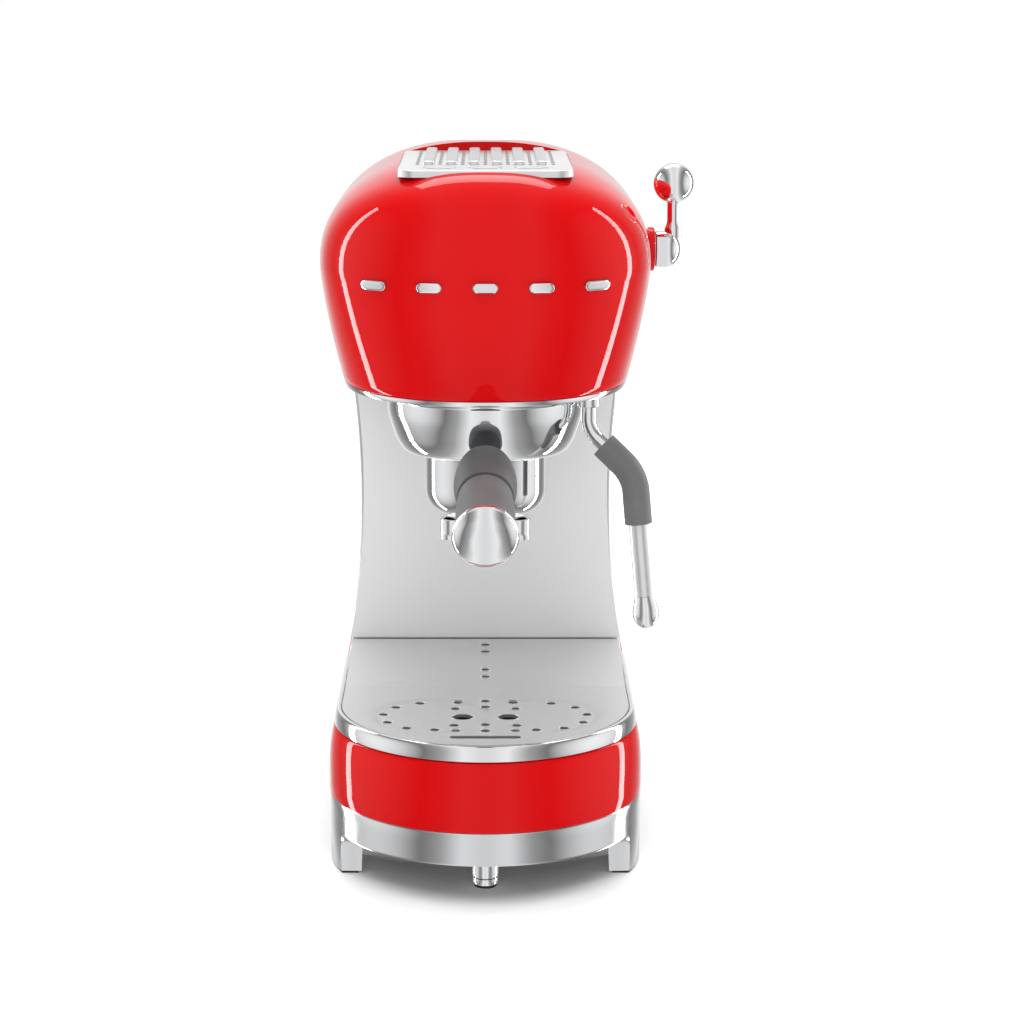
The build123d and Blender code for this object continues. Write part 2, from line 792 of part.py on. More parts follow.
# Bright hub: a shaft into the valve, a barrel and a domed end, socketed for the rod.
valve_x = 58.0
with BuildPart() as lever_hub:
    with BuildSketch(Plane(origin=(0, lever_y, lever_z), x_dir=(1, 0, 0), z_dir=(0, -1, 0))):
        with BuildLine():
            barrel_end = hub_low + hub_barrel
            Polyline(
                (barrel_end + hub_dome, 0),
                (valve_x - 8, 0),
                (valve_x - 8, lever_shaft_r),
                (hub_low, lever_shaft_r),
                (hub_low, lever_hub_r - 0.6),
                (hub_low + 0.6, lever_hub_r),
                (barrel_end, lever_hub_r),
            )
            Spline(
                (barrel_end, lever_hub_r),
                (barrel_end + hub_dome * 0.72, lever_hub_r * 0.7),
                (barrel_end + hub_dome, 0),
                tangents=((1, 0), (0, -1)),
            )
        make_face()
    revolve(axis=lever_axis)
    with BuildSketch(Plane.XY.offset(lever_z + 5.2)):
        with Locations((rod_x, lever_y)):
            Circle(lever_rod_r + 1.2 + touch)
    extrude(amount=6, mode=Mode.SUBTRACT)
save(lever_hub, "lever_hub")

with BuildPart() as lever_rod:
    rod_top = lever_reach - lever_ball_r + 1.2
    with BuildSketch(front_plane(lever_y)):
        with BuildLine():
            low, high = lever_z + 5.2, lever_z + rod_top
            Polyline(
                (rod_x, high),
                (rod_x, low),
                (rod_x + lever_rod_r + 1.2, low),
                (rod_x + lever_rod_r + 1.2, low + 3),
            )
            Spline(
                (rod_x + lever_rod_r + 1.2, low + 3),
                (rod_x + lever_rod_r, low + 8),
                tangents=((0, 1), (0, 1)),
            )
            Polyline((rod_x + lever_rod_r, low + 8), (rod_x + lever_rod_r, high), (rod_x, high))
        make_face()
    revolve(axis=Axis((rod_x, lever_y, 0), (0, 0, 1)))
save(lever_rod, "lever_rod")

with BuildPart() as lever_ball:
    with Locations((rod_x, lever_y, lever_z + lever_reach)):
        Sphere(lever_ball_r)
    with BuildSketch(Plane.XY.offset(lever_z + lever_reach - lever_ball_r - 1)):
        with Locations((rod_x, lever_y)):
            Circle(lever_rod_r + touch)
    extrude(amount=2.3, mode=Mode.SUBTRACT)
save(lever_ball, "lever_ball")

# Brass steam valve that the lever's shaft turns in.
valve_half = 10.0
with BuildPart() as steam_valve:
    with BuildSketch(side_plane(valve_x - 20)):
        with Locations((lever_y, lever_z)):
            RectangleRounded(2 * valve_half, 2 * valve_half, 3)
    extrude(amount=20)
    with BuildSketch(side_plane(valve_x - 8 - gap)):
        with Locations((lever_y, lever_z)):
            Circle(lever_shaft_r + fit)
    extrude(amount=8 + gap, mode=Mode.SUBTRACT)
save(steam_valve, "steam_valve")

# ------------------------------------------------------------------ brew group
brew_axis = Axis((0, brew_y, 0), (0, 0, 1))
lug_low = 204.0
lug_high = 208.6
rim_top = 210.2
group_low = collar_z + 2.6
gasket_low = rim_top + 1.1

# Polished collar: a shallow bowl that hides the casting.
with BuildPart() as group_collar:
    with BuildSketch(front_plane(brew_y)):
        with BuildLine():
            top = chin_z - touch
            Polyline((lug_r + 1, collar_z + 2.2), (lug_r + 1, collar_z), (collar_low_r - 1.5, collar_z))
            Spline(
                (collar_low_r - 1.5, collar_z),
                (collar_low_r + 1.7, collar_z + 2.4),
                (collar_low_r + 4.6, collar_z + 8.5),
                (collar_top_r - 0.9, collar_z + 17),
                (collar_top_r, top),
                tangents=((1, 0), (0, 1)),
            )
            Polyline((collar_top_r, top), (collar_top_r - 2, top))
            Spline(
                (collar_top_r - 2, top),
                (collar_top_r - 3, collar_z + 17),
                (collar_low_r + 2.4, collar_z + 8.5),
                (collar_low_r - 1.0, collar_z + 3.2),
                (lug_r + 1, collar_z + 2.2),
            )
        make_face()
    revolve(axis=brew_axis)
save(group_collar, "group_collar")

# Cast group: bore for the portafilter rim, a groove its lugs turn in, and two entry slots.
unlock_turn = 45.0
lug_half_angle = 16.0
with BuildPart() as group_head:
    with BuildSketch(Plane.XY.offset(group_low)):
        with Locations((0, brew_y)):
            Circle(collar_low_r - 2.2)
    extrude(amount=chin_z - touch - group_low)
    with BuildSketch(Plane.XY.offset(chin_z - touch)):
        with Locations((0, brew_y)):
            Circle(group_top_r)
    extrude(amount=7)
    for radius, low, high in (
        (lock_r + gap, group_low, gasket_low + 5.6),
        (lug_r + gap, lug_low - gap, lug_high + gap),
        (3.0, group_low, chin_z + 7),
    ):
        with BuildSketch(Plane.XY.offset(low)):
            with Locations((0, brew_y)):
                Circle(radius)
        extrude(amount=high - low, mode=Mode.SUBTRACT)
    with BuildSketch(Plane.XY.offset(group_low)):
        with Locations((0, brew_y)):
            Circle(lug_r + gap)
            entry_w = 2 * lug_r * sin(radians(lug_half_angle + 4))
            Rectangle(4 * lug_r, entry_w, rotation=-unlock_turn, mode=Mode.INTERSECT)
    extrude(amount=lug_low - group_low, mode=Mode.SUBTRACT)
save(group_head, "group_head")

with BuildPart() as group_gasket:
    with BuildSketch(Plane.XY.offset(gasket_low)):
        with Locations((0, brew_y)):
            Circle(lock_r + gap - touch)
            Circle(24.0, mode=Mode.SUBTRACT)
    extrude(amount=5.5)
save(group_gasket, "group_gasket")

# Shower screen under the casting, held by one screw.
with BuildPart() as shower_screen:
    with BuildSketch(Plane.XY.offset(gasket_low + 0.4)):
        with Locations((0, brew_y)):
            Circle(23.5)
            Circle(2.1, mode=Mode.SUBTRACT)
            for ring, holes in ((7.0, 8), (12.5, 14), (18.0, 20)):
                with PolarLocations(ring, holes):
                    Circle(0.9, mode=Mode.SUBTRACT)
    extrude(amount=1.0)
save(shower_screen, "shower_screen")

with BuildPart() as shower_screw:
    for radius, low, high in (
        (4.0, gasket_low - 1.2, gasket_low + 0.35),
        (2.0, gasket_low + 0.35, gasket_low + 9),
    ):
        with BuildSketch(Plane.XY.offset(low)):
            with Locations((0, brew_y)):
                Circle(radius)
        extrude(amount=high - low)
save(shower_screw, "shower_screw")

# ------------------------------------------------------------------ portafilter
arm_low = 186.0
arm_high = 195.0
arm_half = 6.0
arm_front = handle_y + 4.0
rod_start = -3.5
fall = radians(handle_fall)
handle_dir = Vector(0, -cos(fall), -sin(fall))
handle_axis = Axis((0, handle_y, handle_z), tuple(handle_dir))
handle_plane = Plane(origin=(0, handle_y, handle_z), x_dir=tuple(handle_dir), z_dir=(1, 0, 0))

# Bright bowl with a locking rim, two lugs, an arm for the handle and a boss for the spout.
with BuildPart() as portafilter_body:
    with BuildSketch(front_plane(brew_y)):
        with BuildLine():
            Line((3, bowl_bottom), (15, bowl_bottom))
            Spline(
                (15, bowl_bottom),
                (bowl_r - 3, bowl_bottom + 4),
                (bowl_r, bowl_bottom + 13),
                tangents=((1, 0), (0, 1)),
            )
            Polyline(
                (bowl_r, bowl_bottom + 13),
                (bowl_r, group_low - 2.6),
                (lock_r, group_low - 2.6),
                (lock_r, rim_top),
                (bowl_r - 0.6, rim_top),
                (bowl_r - 0.6, bowl_bottom + 14),
            )
            Spline(
                (bowl_r - 0.6, bowl_bottom + 14),
                (bowl_r - 6, bowl_bottom + 6),
                (15, bowl_bottom + 4),
                tangents=((0, -1), (-1, 0)),
            )
            Polyline((15, bowl_bottom + 4), (3, bowl_bottom + 3), (3, bowl_bottom))
        make_face()
    revolve(axis=brew_axis)
    with BuildSketch(Plane.XY.offset(lug_low)):
        with Locations((0, brew_y)):
            Circle(lug_r)
            Rectangle(4 * lug_r, 2 * lug_r * sin(radians(lug_half_angle)), mode=Mode.INTERSECT)
            Circle(lock_r - 0.3, mode=Mode.SUBTRACT)
    extrude(amount=lug_high - lug_low)
    with BuildSketch(front_plane(brew_y - bowl_r + 0.4)):
        with Locations((0, (arm_low + arm_high) / 2)):
            RectangleRounded(2 * arm_half, arm_high - arm_low, 3)
    extrude(amount=brew_y - bowl_r + 0.4 - arm_front)
save(portafilter_body, "portafilter_body")

# Sheet steel filter basket hanging by its rim, and the wire spring that grips it.
basket_r = bowl_r - 1.3
basket_low = 184.0
with BuildPart() as filter_basket:
    with BuildSketch(Plane.XY.offset(basket_low)):
        with Locations((0, brew_y)):
            Circle(basket_r)
    extrude(amount=rim_top + touch - basket_low)
    with BuildSketch(Plane.XY.offset(rim_top + touch)):
        with Locations((0, brew_y)):
            Circle(lock_r - 0.3)
    extrude(amount=0.7)
    with BuildSketch(Plane.XY.offset(basket_low + 0.8)):
        with Locations((0, brew_y)):
            Circle(basket_r - 0.8)
    extrude(amount=rim_top - basket_low + 2, mode=Mode.SUBTRACT)
save(filter_basket, "filter_basket")

with BuildPart() as basket_spring:
    with Locations((0, brew_y, rim_top - 8)):
        Torus(bowl_r - 0.95, 0.28)
save(basket_spring, "basket_spring")

# Double spout: a nut on the bowl, a trough across, and an outlet at each end.
trough_low = 157.5
trough_high = bowl_bottom - 2.2
outlet_x = spout_half - 4.2
with BuildPart() as double_spout:
    with BuildSketch(Plane.XY.offset(trough_low)):
        with Locations((0, brew_y)):
            SlotOverall(2 * spout_half, 11)
    extrude(amount=trough_high - trough_low)
    with BuildSketch(Plane.XY.offset(trough_low + 1.8)):
        with Locations((0, brew_y)):
            SlotOverall(2 * spout_half - 3.2, 7.8)
    extrude(amount=trough_high - trough_low, mode=Mode.SUBTRACT)
    with BuildSketch(Plane.XY.offset(trough_low)):
        with Locations((0, brew_y)):
            RegularPolygon(9.5, 6)
            Circle(2.6, mode=Mode.SUBTRACT)
    extrude(amount=bowl_bottom - touch - trough_low)
    with BuildSketch(Plane.XY.offset(spout_bottom)):
        with Locations((-outlet_x, brew_y), (outlet_x, brew_y)):
            Circle(4.0)
    extrude(amount=trough_low + 0.5 - spout_bottom)
    with BuildSketch(Plane.XY.offset(spout_bottom)):
        with Locations((-outlet_x, brew_y), (outlet_x, brew_y)):
            Circle(2.4)
    extrude(amount=trough_low + 1.8 - spout_bottom, mode=Mode.SUBTRACT)
save(double_spout, "double_spout")

# Dark neck, pocketed for the arm and bored for the tie rod.
neck_back = -8.3
with BuildPart() as portafilter_neck:
    with BuildSketch(handle_plane):
        with BuildLine():
            Line((neck_back, 0), (neck_back, neck_r - 3.6))
            Spline(
                (neck_back, neck_r - 3.6),
                (neck_back + 3, neck_r - 1.0),
                (8, neck_r),
                (grip_start - 0.4, neck_r - 1.4),
            )
            Polyline((grip_start - 0.4, neck_r - 1.4), (grip_start - 0.4, 0), (neck_back, 0))
        make_face()
    revolve(axis=handle_axis)
    with BuildSketch(front_plane(brew_y - bowl_r)):
        with Locations((0, (arm_low + arm_high) / 2)):
            RectangleRounded(2 * (arm_half + touch), arm_high - arm_low + 2 * touch, 3 + touch)
    extrude(amount=brew_y - bowl_r - arm_front + touch, mode=Mode.SUBTRACT)
    with BuildSketch(Plane(handle_plane.origin + handle_dir * rod_start, z_dir=tuple(handle_dir))):
        Circle(rod_r + touch)
    extrude(amount=grip_start - rod_start, mode=Mode.SUBTRACT)
save(portafilter_neck, "portafilter_neck")

# Grip and its bright end cap, drawn up against the neck by the tie rod.
with BuildPart() as grip:
    with BuildSketch(handle_plane):
        with BuildLine():
            Polyline((grip_start, rod_r + touch), (grip_start, grip_r - 1.8))
            Spline(
                (grip_start, grip_r - 1.8),
                (grip_start + 1.5, grip_r - 1.0),
                (grip_start + 16, grip_r - 0.2),
                (grip_end, grip_r),
            )
            Polyline((grip_end, grip_r), (grip_end, rod_r + touch), (grip_start, rod_r + touch))
        make_face()
    revolve(axis=handle_axis)
save(grip, "grip")

with BuildPart() as end_cap:
    with BuildSketch(handle_plane):
        with BuildLine():
            cap_start = grip_end + 0.2
            Polyline((cap_end, 0), (cap_start, 0), (cap_start, cap_r - 1.0), (cap_start + 0.8, cap_r))
            Line((cap_start + 0.8, cap_r), (cap_start + 3.0, cap_r))
            Spline(
                (cap_start + 3.0, cap_r),
                (cap_start + 4.6, cap_r - 1.3),
                (cap_end - 0.9, cap_r * 0.55),
                (cap_end, 0),
                tangents=((1, 0), (0, -1)),
            )
        make_face()
    revolve(axis=handle_axis)
    with BuildSketch(Plane(handle_plane.origin + handle_dir * cap_start, z_dir=tuple(handle_dir))):
        Circle(rod_r + touch)
    extrude(amount=4, mode=Mode.SUBTRACT)
save(end_cap, "end_cap")

with BuildPart() as tie_rod:
    with BuildSketch(Plane(handle_plane.origin + handle_dir * rod_start, z_dir=tuple(handle_dir))):
        Circle(rod_r)
    extrude(amount=grip_end + 3.5 - rod_start)
    with BuildSketch(front_plane(brew_y - bowl_r)):
        with Locations((0, (arm_low + arm_high) / 2)):
            Rectangle(3 * arm_half, arm_high - arm_low + 2 * touch)
    extrude(amount=brew_y - bowl_r - arm_front + touch, mode=Mode.SUBTRACT)
save(tie_rod, "tie_rod")

# ------------------------------------------------------------------ steam wand
turn = radians(wand_heading)
wand_plane = Plane(
    origin=(wand_x, wand_y, 0), x_dir=(cos(turn), -sin(turn), 0), z_dir=(-sin(turn), -cos(turn), 0)
)
elbow = (0.0, 209.0)           # the wand's two bends, as (outward, up)
knee = (21.4, 189.7)
tip_point = (27.9, 119.7)
run = Vector(tip_point[0] - knee[0], tip_point[1] - knee[1]).normalized()
slope = Vector(knee[0] - elbow[0], knee[1] - elbow[1]).normalized()


def along_run(level):
    """Point on the wand's straight lower run at a level."""
    return (knee[0] + run.X * (level - knee[1]) / run.Y, level)


def sweep_plane(point, direction):
    """Plane across the wand's path at one of its points."""
    origin = wand_plane.from_local_coords(Vector(point[0], point[1], 0))
    ahead = wand_plane.x_dir * direction[0] + wand_plane.y_dir * direction[1]
    return Plane(origin=origin, z_dir=ahead)


grip_low_z = 168.0
seam_z = 135.2
bulb_z = 128.3
tube_top = chin_z + underside_t + 2.5
grip_top = (elbow[0] + slope.X * 9.5, elbow[1] + slope.Y * 9.5)
with BuildPart() as steam_tube:
    with BuildLine(wand_plane) as tube_path:
        FilletPolyline((0, tube_top), elbow, knee, along_run(seam_z - 4), radius=(13, 20))
    with BuildSketch(sweep_plane((0, tube_top), (0, -1))):
        Circle(wand_tube_r)
        Circle(wand_tube_r - 1.0, mode=Mode.SUBTRACT)
    sweep(path=tube_path.wires()[0])
save(steam_tube, "steam_tube")

with BuildPart() as wand_grip:
    with BuildLine(wand_plane) as grip_path:
        FilletPolyline(grip_top, knee, along_run(grip_low_z), radius=20)
    with BuildSketch(sweep_plane(grip_top, (slope.X, slope.Y))):
        Circle(wand_grip_r)
        Circle(wand_tube_r + touch, mode=Mode.SUBTRACT)
    sweep(path=grip_path.wires()[0])
save(wand_grip, "wand_grip")

with BuildPart() as wand_sleeve:
    with BuildSketch(sweep_plane(along_run(grip_low_z - touch), (run.X, run.Y))):
        Circle(wand_sleeve_r)
        Circle(wand_tube_r + touch, mode=Mode.SUBTRACT)
    extrude(amount=(grip_low_z - seam_z) / -run.Y)
save(wand_sleeve, "wand_sleeve")

# Bulb nozzle at the end of the wand.
with BuildPart() as wand_tip:
    seam = along_run(seam_z - 0.2)
    length = (seam_z - 0.2 - tip_point[1]) / -run.Y
    across = Vector(-run.Y, run.X)
    with BuildSketch(wand_plane):
        with BuildLine():
            def tip_at(down, radius):
                """Point of the nozzle's half profile."""
                return (
                    seam[0] + run.X * down + across.X * radius,
                    seam[1] + run.Y * down + across.Y * radius,
                )
            Polyline(tip_at(length, 0), tip_at(4.5, 0), tip_at(4.5, wand_tube_r + touch))
            Polyline(
                tip_at(4.5, wand_tube_r + touch), tip_at(0, wand_tube_r + touch), tip_at(0, wand_sleeve_r)
            )
            Spline(
                tip_at(0, wand_sleeve_r),
                tip_at(4.0, wand_sleeve_r + 0.9),
                tip_at(8.6, wand_tip_r),
                tip_at(12.8, wand_tip_r - 1.6),
                tip_at(length, 0),
            )
        make_face()
    tip_origin = wand_plane.from_local_coords(Vector(seam[0], seam[1], 0))
    tip_dir = wand_plane.x_dir * run.X + wand_plane.y_dir * run.Y
    revolve(axis=Axis(tuple(tip_origin), tuple(tip_dir)))
save(wand_tip, "wand_tip")

# Union nut that the wand swivels in.
with BuildPart() as wand_nut:
    with BuildSketch(Plane.XY.offset(chin_z - 5.5)):
        with Locations((wand_x, wand_y)):
            Circle(5.0)
            Circle(wand_tube_r + fit, mode=Mode.SUBTRACT)
    extrude(amount=5.5 - touch)
    fillet(wand_nut.edges().group_by(Axis.Z)[0].filter_by(GeomType.CIRCLE).sort_by(SortBy.RADIUS)[-1], 1.0)
save(wand_nut, "wand_nut")

# ------------------------------------------------------------------ boiler and hoses
block_low = chin_z + 7.0
block_high = 270.0
block_half = 34.0
block_front = -4.0
block_back = 74.0
hose_r = 3.0
with BuildPart() as thermoblock:
    with BuildSketch(Plane.XY.offset(block_low)):
        with Locations((0, (block_front + block_back) / 2)):
            RectangleRounded(2 * block_half, block_back - block_front, 8)
    extrude(amount=block_high - block_low)
    with BuildSketch(Plane.XY.offset(block_high - 6)):
        for step in range(-3, 4):
            with Locations((step * 9.0, (block_front + block_back) / 2)):
                SlotOverall(block_back - block_front - 14, 4.5, rotation=90)
    extrude(amount=6, mode=Mode.SUBTRACT)
save(thermoblock, "thermoblock")

pressure_z = 250.0
hose_level = 48.0
with BuildPart() as water_hoses:
    with BuildLine(side_plane(0)) as suction:
        FilletPolyline(
            (seat_y, deck_top - floor_t - 3.6),
            (seat_y, hose_level),
            (pump_y, hose_level),
            (pump_y, pump_low - 14 - touch),
            radius=9,
        )
    with BuildSketch(Plane((0, seat_y, deck_top - floor_t - 3.6), z_dir=(0, 0, -1))):
        Circle(hose_r)
    sweep(path=suction.wires()[0])
    with BuildLine(side_plane(0)) as delivery:
        FilletPolyline(
            (pump_y, pump_high + 14 + touch),
            (pump_y, pressure_z),
            (block_back + touch, pressure_z),
            radius=24,
        )
    with BuildSketch(Plane((0, pump_y, pump_high + 14 + touch), z_dir=(0, 0, 1))):
        Circle(hose_r)
    sweep(path=delivery.wires()[0])
save(water_hoses, "water_hoses")

# Steam pipes: boiler to valve, and valve to the top of the wand.
valve_mid = valve_x - 11.0
with BuildPart() as steam_pipes:
    with BuildLine(front_plane(lever_y)) as feed:
        FilletPolyline(
            (block_half + touch, block_high - 14),
            (valve_mid, block_high - 14),
            (valve_mid, lever_z - valve_half - touch),
            radius=7,
        )
    with BuildSketch(Plane((block_half + touch, lever_y, block_high - 14), z_dir=(1, 0, 0))):
        Circle(2.5)
    sweep(path=feed.wires()[0])
    with BuildLine(side_plane(wand_x)) as down:
        FilletPolyline(
            (lever_y - valve_half - touch, lever_z),
            (wand_y, lever_z),
            (wand_y, tube_top + gap),
            radius=14,
        )
    with BuildSketch(Plane((wand_x, lever_y - valve_half - touch, lever_z), z_dir=(0, -1, 0))):
        Circle(2.5)
    sweep(path=down.wires()[0])
save(steam_pipes, "steam_pipes")

# ------------------------------------------------------------------ water tank
tank_low = band_top + gap
tank_deep = tank_back - tank_front
valve_r = 7.0
hinge_r = 1.5
hinge_y = tank_back + 3.4
hinge_z = tank_top + 1.2
ear_x = 30.0


def tank_plan(inset):
    """Tank outline: small corners against the column, large ones at the back."""
    with BuildSketch() as plan:
        with Locations((0, (tank_front + tank_back) / 2)):
            Rectangle(2 * (tank_half - inset), tank_deep - 2 * inset)
        fillet(plan.vertices().group_by(Axis.Y)[-1], 26 - inset)
        fillet(plan.vertices().group_by(Axis.Y)[0], 5 - inset)
    return plan.sketch


# Moulded lid with a handle lip in front and two knuckles behind.
with BuildPart() as tank_lid:
    with BuildSketch(Plane.XY.offset(tank_top + gap)):
        add(tank_plan(0.2))
    extrude(amount=3.0)
    with BuildSketch(Plane.XY.offset(tank_top - 4)):
        with Locations((0, tank_front + tank_deep / 2)):
            RectangleRounded(2 * tank_half - 40, tank_deep - 30, 10)
            RectangleRounded(2 * tank_half - 46, tank_deep - 36, 7, mode=Mode.SUBTRACT)
    extrude(amount=4 + gap)
    for side in (-1, 1):
        with BuildSketch(side_plane(side * ear_x - 5)):
            with BuildLine():
                Polyline(
                    (hinge_y, hinge_z + 3.0),
                    (tank_back - 6, hinge_z + 2.1),
                    (tank_back - 6, tank_top + gap),
                    (tank_back + 0.2, tank_top + gap),
                    (hinge_y - 1.0, hinge_z - 2.6),
                )
                ThreePointArc(
                    (hinge_y - 1.0, hinge_z - 2.6), (hinge_y + 2.9, hinge_z - 0.6), (hinge_y, hinge_z + 3.0)
                )
            make_face()
            with Locations((hinge_y, hinge_z)):
                Circle(hinge_r + fit, mode=Mode.SUBTRACT)
        extrude(amount=10)
save(tank_lid, "tank_lid")

# Clear tank with a hole for its valve and ears for the lid.
with BuildPart() as water_tank:
    with BuildSketch(Plane.XY.offset(tank_low)):
        add(tank_plan(0))
    extrude(amount=tank_top - tank_low)
    with BuildSketch(Plane.XY.offset(tank_low + tank_wall)):
        add(tank_plan(tank_wall))
    extrude(amount=tank_top - tank_low, mode=Mode.SUBTRACT)
    with BuildSketch(Plane.XY.offset(tank_low)):
        with Locations((0, seat_y)):
            Circle(valve_r + touch)
    extrude(amount=tank_wall, mode=Mode.SUBTRACT)
    for side in (-1, 1):
        for edge in (-1, 1):
            with BuildSketch(side_plane(side * ear_x + edge * (5 + gap) - (1.8 if edge < 0 else 0))):
                with BuildLine():
                    Polyline(
                        (hinge_y + 2.4, hinge_z - 0.6),
                        (hinge_y - 1.2, hinge_z - 10),
                        (tank_back - 0.4, hinge_z - 14),
                        (tank_back - 0.4, tank_top - 0.2),
                        (hinge_y - 2.4, hinge_z - 0.6),
                    )
                    ThreePointArc(
                        (hinge_y - 2.4, hinge_z - 0.6), (hinge_y, hinge_z + 2.5), (hinge_y + 2.4, hinge_z - 0.6)
                    )
                make_face()
                with Locations((hinge_y, hinge_z)):
                    Circle(hinge_r + touch, mode=Mode.SUBTRACT)
            extrude(amount=1.8)
save(water_tank, "water_tank")

with BuildPart() as lid_pins:
    for side in (-1, 1):
        with BuildSketch(side_plane(side * ear_x - 7)):
            with Locations((hinge_y, hinge_z)):
                Circle(hinge_r)
        extrude(amount=14)
save(lid_pins, "lid_pins")

# Valve in the tank's floor and the sealed seat it drops into.
with BuildPart() as tank_valve:
    for radius, low, high in (
        (valve_r, tank_low - 2.5, tank_low + 12),
        (valve_r + 3, tank_low + tank_wall + touch, tank_low + 6),
    ):
        with BuildSketch(Plane.XY.offset(low)):
            with Locations((0, seat_y)):
                Circle(radius)
        extrude(amount=high - low)
    with BuildSketch(Plane.XY.offset(tank_low - 2.5)):
        with Locations((0, seat_y)):
            Circle(3)
    extrude(amount=14.5, mode=Mode.SUBTRACT)
save(tank_valve, "tank_valve")

with BuildPart() as tank_seat:
    with BuildSketch(Plane.XY.offset(deck_top - floor_t - 3.5)):
        with Locations((0, seat_y)):
            Circle(seat_r)
    extrude(amount=floor_t + 3.4)
    with BuildSketch(Plane.XY.offset(tank_low - 3.2)):
        with Locations((0, seat_y)):
            Circle(valve_r + gap)
    extrude(amount=5, mode=Mode.SUBTRACT)
    with BuildSketch(Plane.XY.offset(deck_top - floor_t - 3.5)):
        with Locations((0, seat_y)):
            Circle(2.2)
    extrude(amount=6, mode=Mode.SUBTRACT)
save(tank_seat, "tank_seat")

# ------------------------------------------------------------------ switch and cord inlet
drum_r = 9.3
drum_y = base_back - 5.4
rocker_w = 2 * rocker_half[0] - 2.8
with BuildPart() as rocker_frame:
    with BuildSketch(front_plane(base_back + 1.2)):
        with Locations((rocker_x, rear_fit_z)):
            RectangleRounded(2 * rocker_half[0] + 3, 2 * rocker_half[1] + 3, 2)
    extrude(amount=1.15)
    with BuildSketch(front_plane(base_back + 0.5)):
        with Locations((rocker_x, rear_fit_z)):
            Rectangle(2 * rocker_half[0], 2 * rocker_half[1])
    extrude(amount=18)
    with BuildSketch(front_plane(base_back + 1.2)):
        with Locations((rocker_x, rear_fit_z)):
            Rectangle(rocker_w + 2 * gap, 2 * drum_r + 2 * gap)
    extrude(amount=17, mode=Mode.SUBTRACT)
save(rocker_frame, "rocker_frame")

with BuildPart() as power_rocker:
    with BuildSketch(side_plane(rocker_x - rocker_w / 2)):
        with Locations((drum_y, rear_fit_z)):
            Circle(drum_r)
            Polygon((-8, -11), (-8, 11), (9.2, 11), (7.4, 0), (9.2, -11), align=None, mode=Mode.INTERSECT)
    extrude(amount=rocker_w)
save(power_rocker, "power_rocker")

# Bushing where a mains cord enters; the bore is for the cord.
with BuildPart() as cord_bushing:
    for radius, near, far in (
        (gland_r, base_back - well_inset - 4, base_back + 0.2),
        (gland_r + 2.2, base_back + 0.1, base_back + 2.2),
        (4.8, base_back + 2.2, base_back + 12),
    ):
        with BuildSketch(front_plane(far)):
            with Locations((gland_x, rear_fit_z)):
                Circle(radius)
        extrude(amount=far - near)
    with BuildSketch(front_plane(base_back + 12)):
        with Locations((gland_x, rear_fit_z)):
            Circle(3.3)
    extrude(amount=40, mode=Mode.SUBTRACT)
save(cord_bushing, "cord_bushing")
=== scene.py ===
# %% [markdown]
# # A pump espresso machine, piece by piece
# The CAD model holds every size and every moving part. This file gives those parts their finish:
# it rebuilds the surfaces that catch the light as fine meshes, and paints the rest.
# Lengths in the cells are millimetres, as on a drawing, and turn into metres when a mesh is made.

# %% Load the frame
import bpy
import bmesh
import json
from math import cos, pi, radians, sin, sqrt
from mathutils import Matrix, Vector


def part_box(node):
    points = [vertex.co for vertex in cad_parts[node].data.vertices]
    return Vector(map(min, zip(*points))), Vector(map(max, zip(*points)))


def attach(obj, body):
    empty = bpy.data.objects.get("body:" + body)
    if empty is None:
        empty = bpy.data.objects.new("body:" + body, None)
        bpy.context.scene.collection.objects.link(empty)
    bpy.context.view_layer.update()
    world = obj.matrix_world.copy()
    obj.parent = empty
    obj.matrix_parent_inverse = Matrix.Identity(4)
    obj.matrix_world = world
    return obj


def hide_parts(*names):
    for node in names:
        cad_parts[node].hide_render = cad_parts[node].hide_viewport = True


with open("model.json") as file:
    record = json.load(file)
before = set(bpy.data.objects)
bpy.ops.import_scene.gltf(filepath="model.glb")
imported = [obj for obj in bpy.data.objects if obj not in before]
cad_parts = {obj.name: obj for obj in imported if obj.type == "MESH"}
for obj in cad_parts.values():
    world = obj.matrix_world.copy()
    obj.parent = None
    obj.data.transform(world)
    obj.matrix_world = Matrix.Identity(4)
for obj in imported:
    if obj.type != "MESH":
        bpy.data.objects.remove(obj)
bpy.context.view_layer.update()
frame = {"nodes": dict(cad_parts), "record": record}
MM = 0.001


# %% [markdown]
# ## Measuring
# Every place comes from the box of a CAD node, so a piece can't drift from its neighbours.

# %% Read boxes in millimetres
def low_high(node):
    """Lowest and highest corner of a CAD node, in millimetres."""
    low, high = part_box(node)
    return Vector(low) / MM, Vector(high) / MM


skirt_low, skirt_high = low_high("base_skirt")
band_low, band_high = low_high("base_band")
ring_high = low_high("tray_ring")[1]
grate_low, grate_high = low_high("drip_grate")
collar_low, collar_high = low_high("group_collar")
brew_y = (collar_low.y + collar_high.y) / 2
base_r = (band_high.x - band_low.x) / 2
nose_y = band_low.y + base_r
base_back = band_high.y
print("base radius", round(base_r, 1), "brew axis", round(brew_y, 1))


# %% [markdown]
# ## Finishes
# Each finish is a small node tree. A uniform value sits on the shader's own socket. What varies,
# such as brush lines, orange peel or moulding grain, is noise read from Object coordinates, so it
# stays put when a piece moves.

# %% Build finishes
bump_height = 0.0002


def new_finish(name, color, rough, metal=0.0, **sockets):
    """Principled material with plain values on its sockets."""
    mat = bpy.data.materials.new(name)
    mat.use_nodes = True
    shader = mat.node_tree.nodes["Principled BSDF"]
    shader.inputs["Base Color"].default_value = (*color, 1.0)
    shader.inputs["Roughness"].default_value = rough
    shader.inputs["Metallic"].default_value = metal
    for socket, value in sockets.items():
        shader.inputs[socket.replace("_", " ")].default_value = value
    return mat, shader


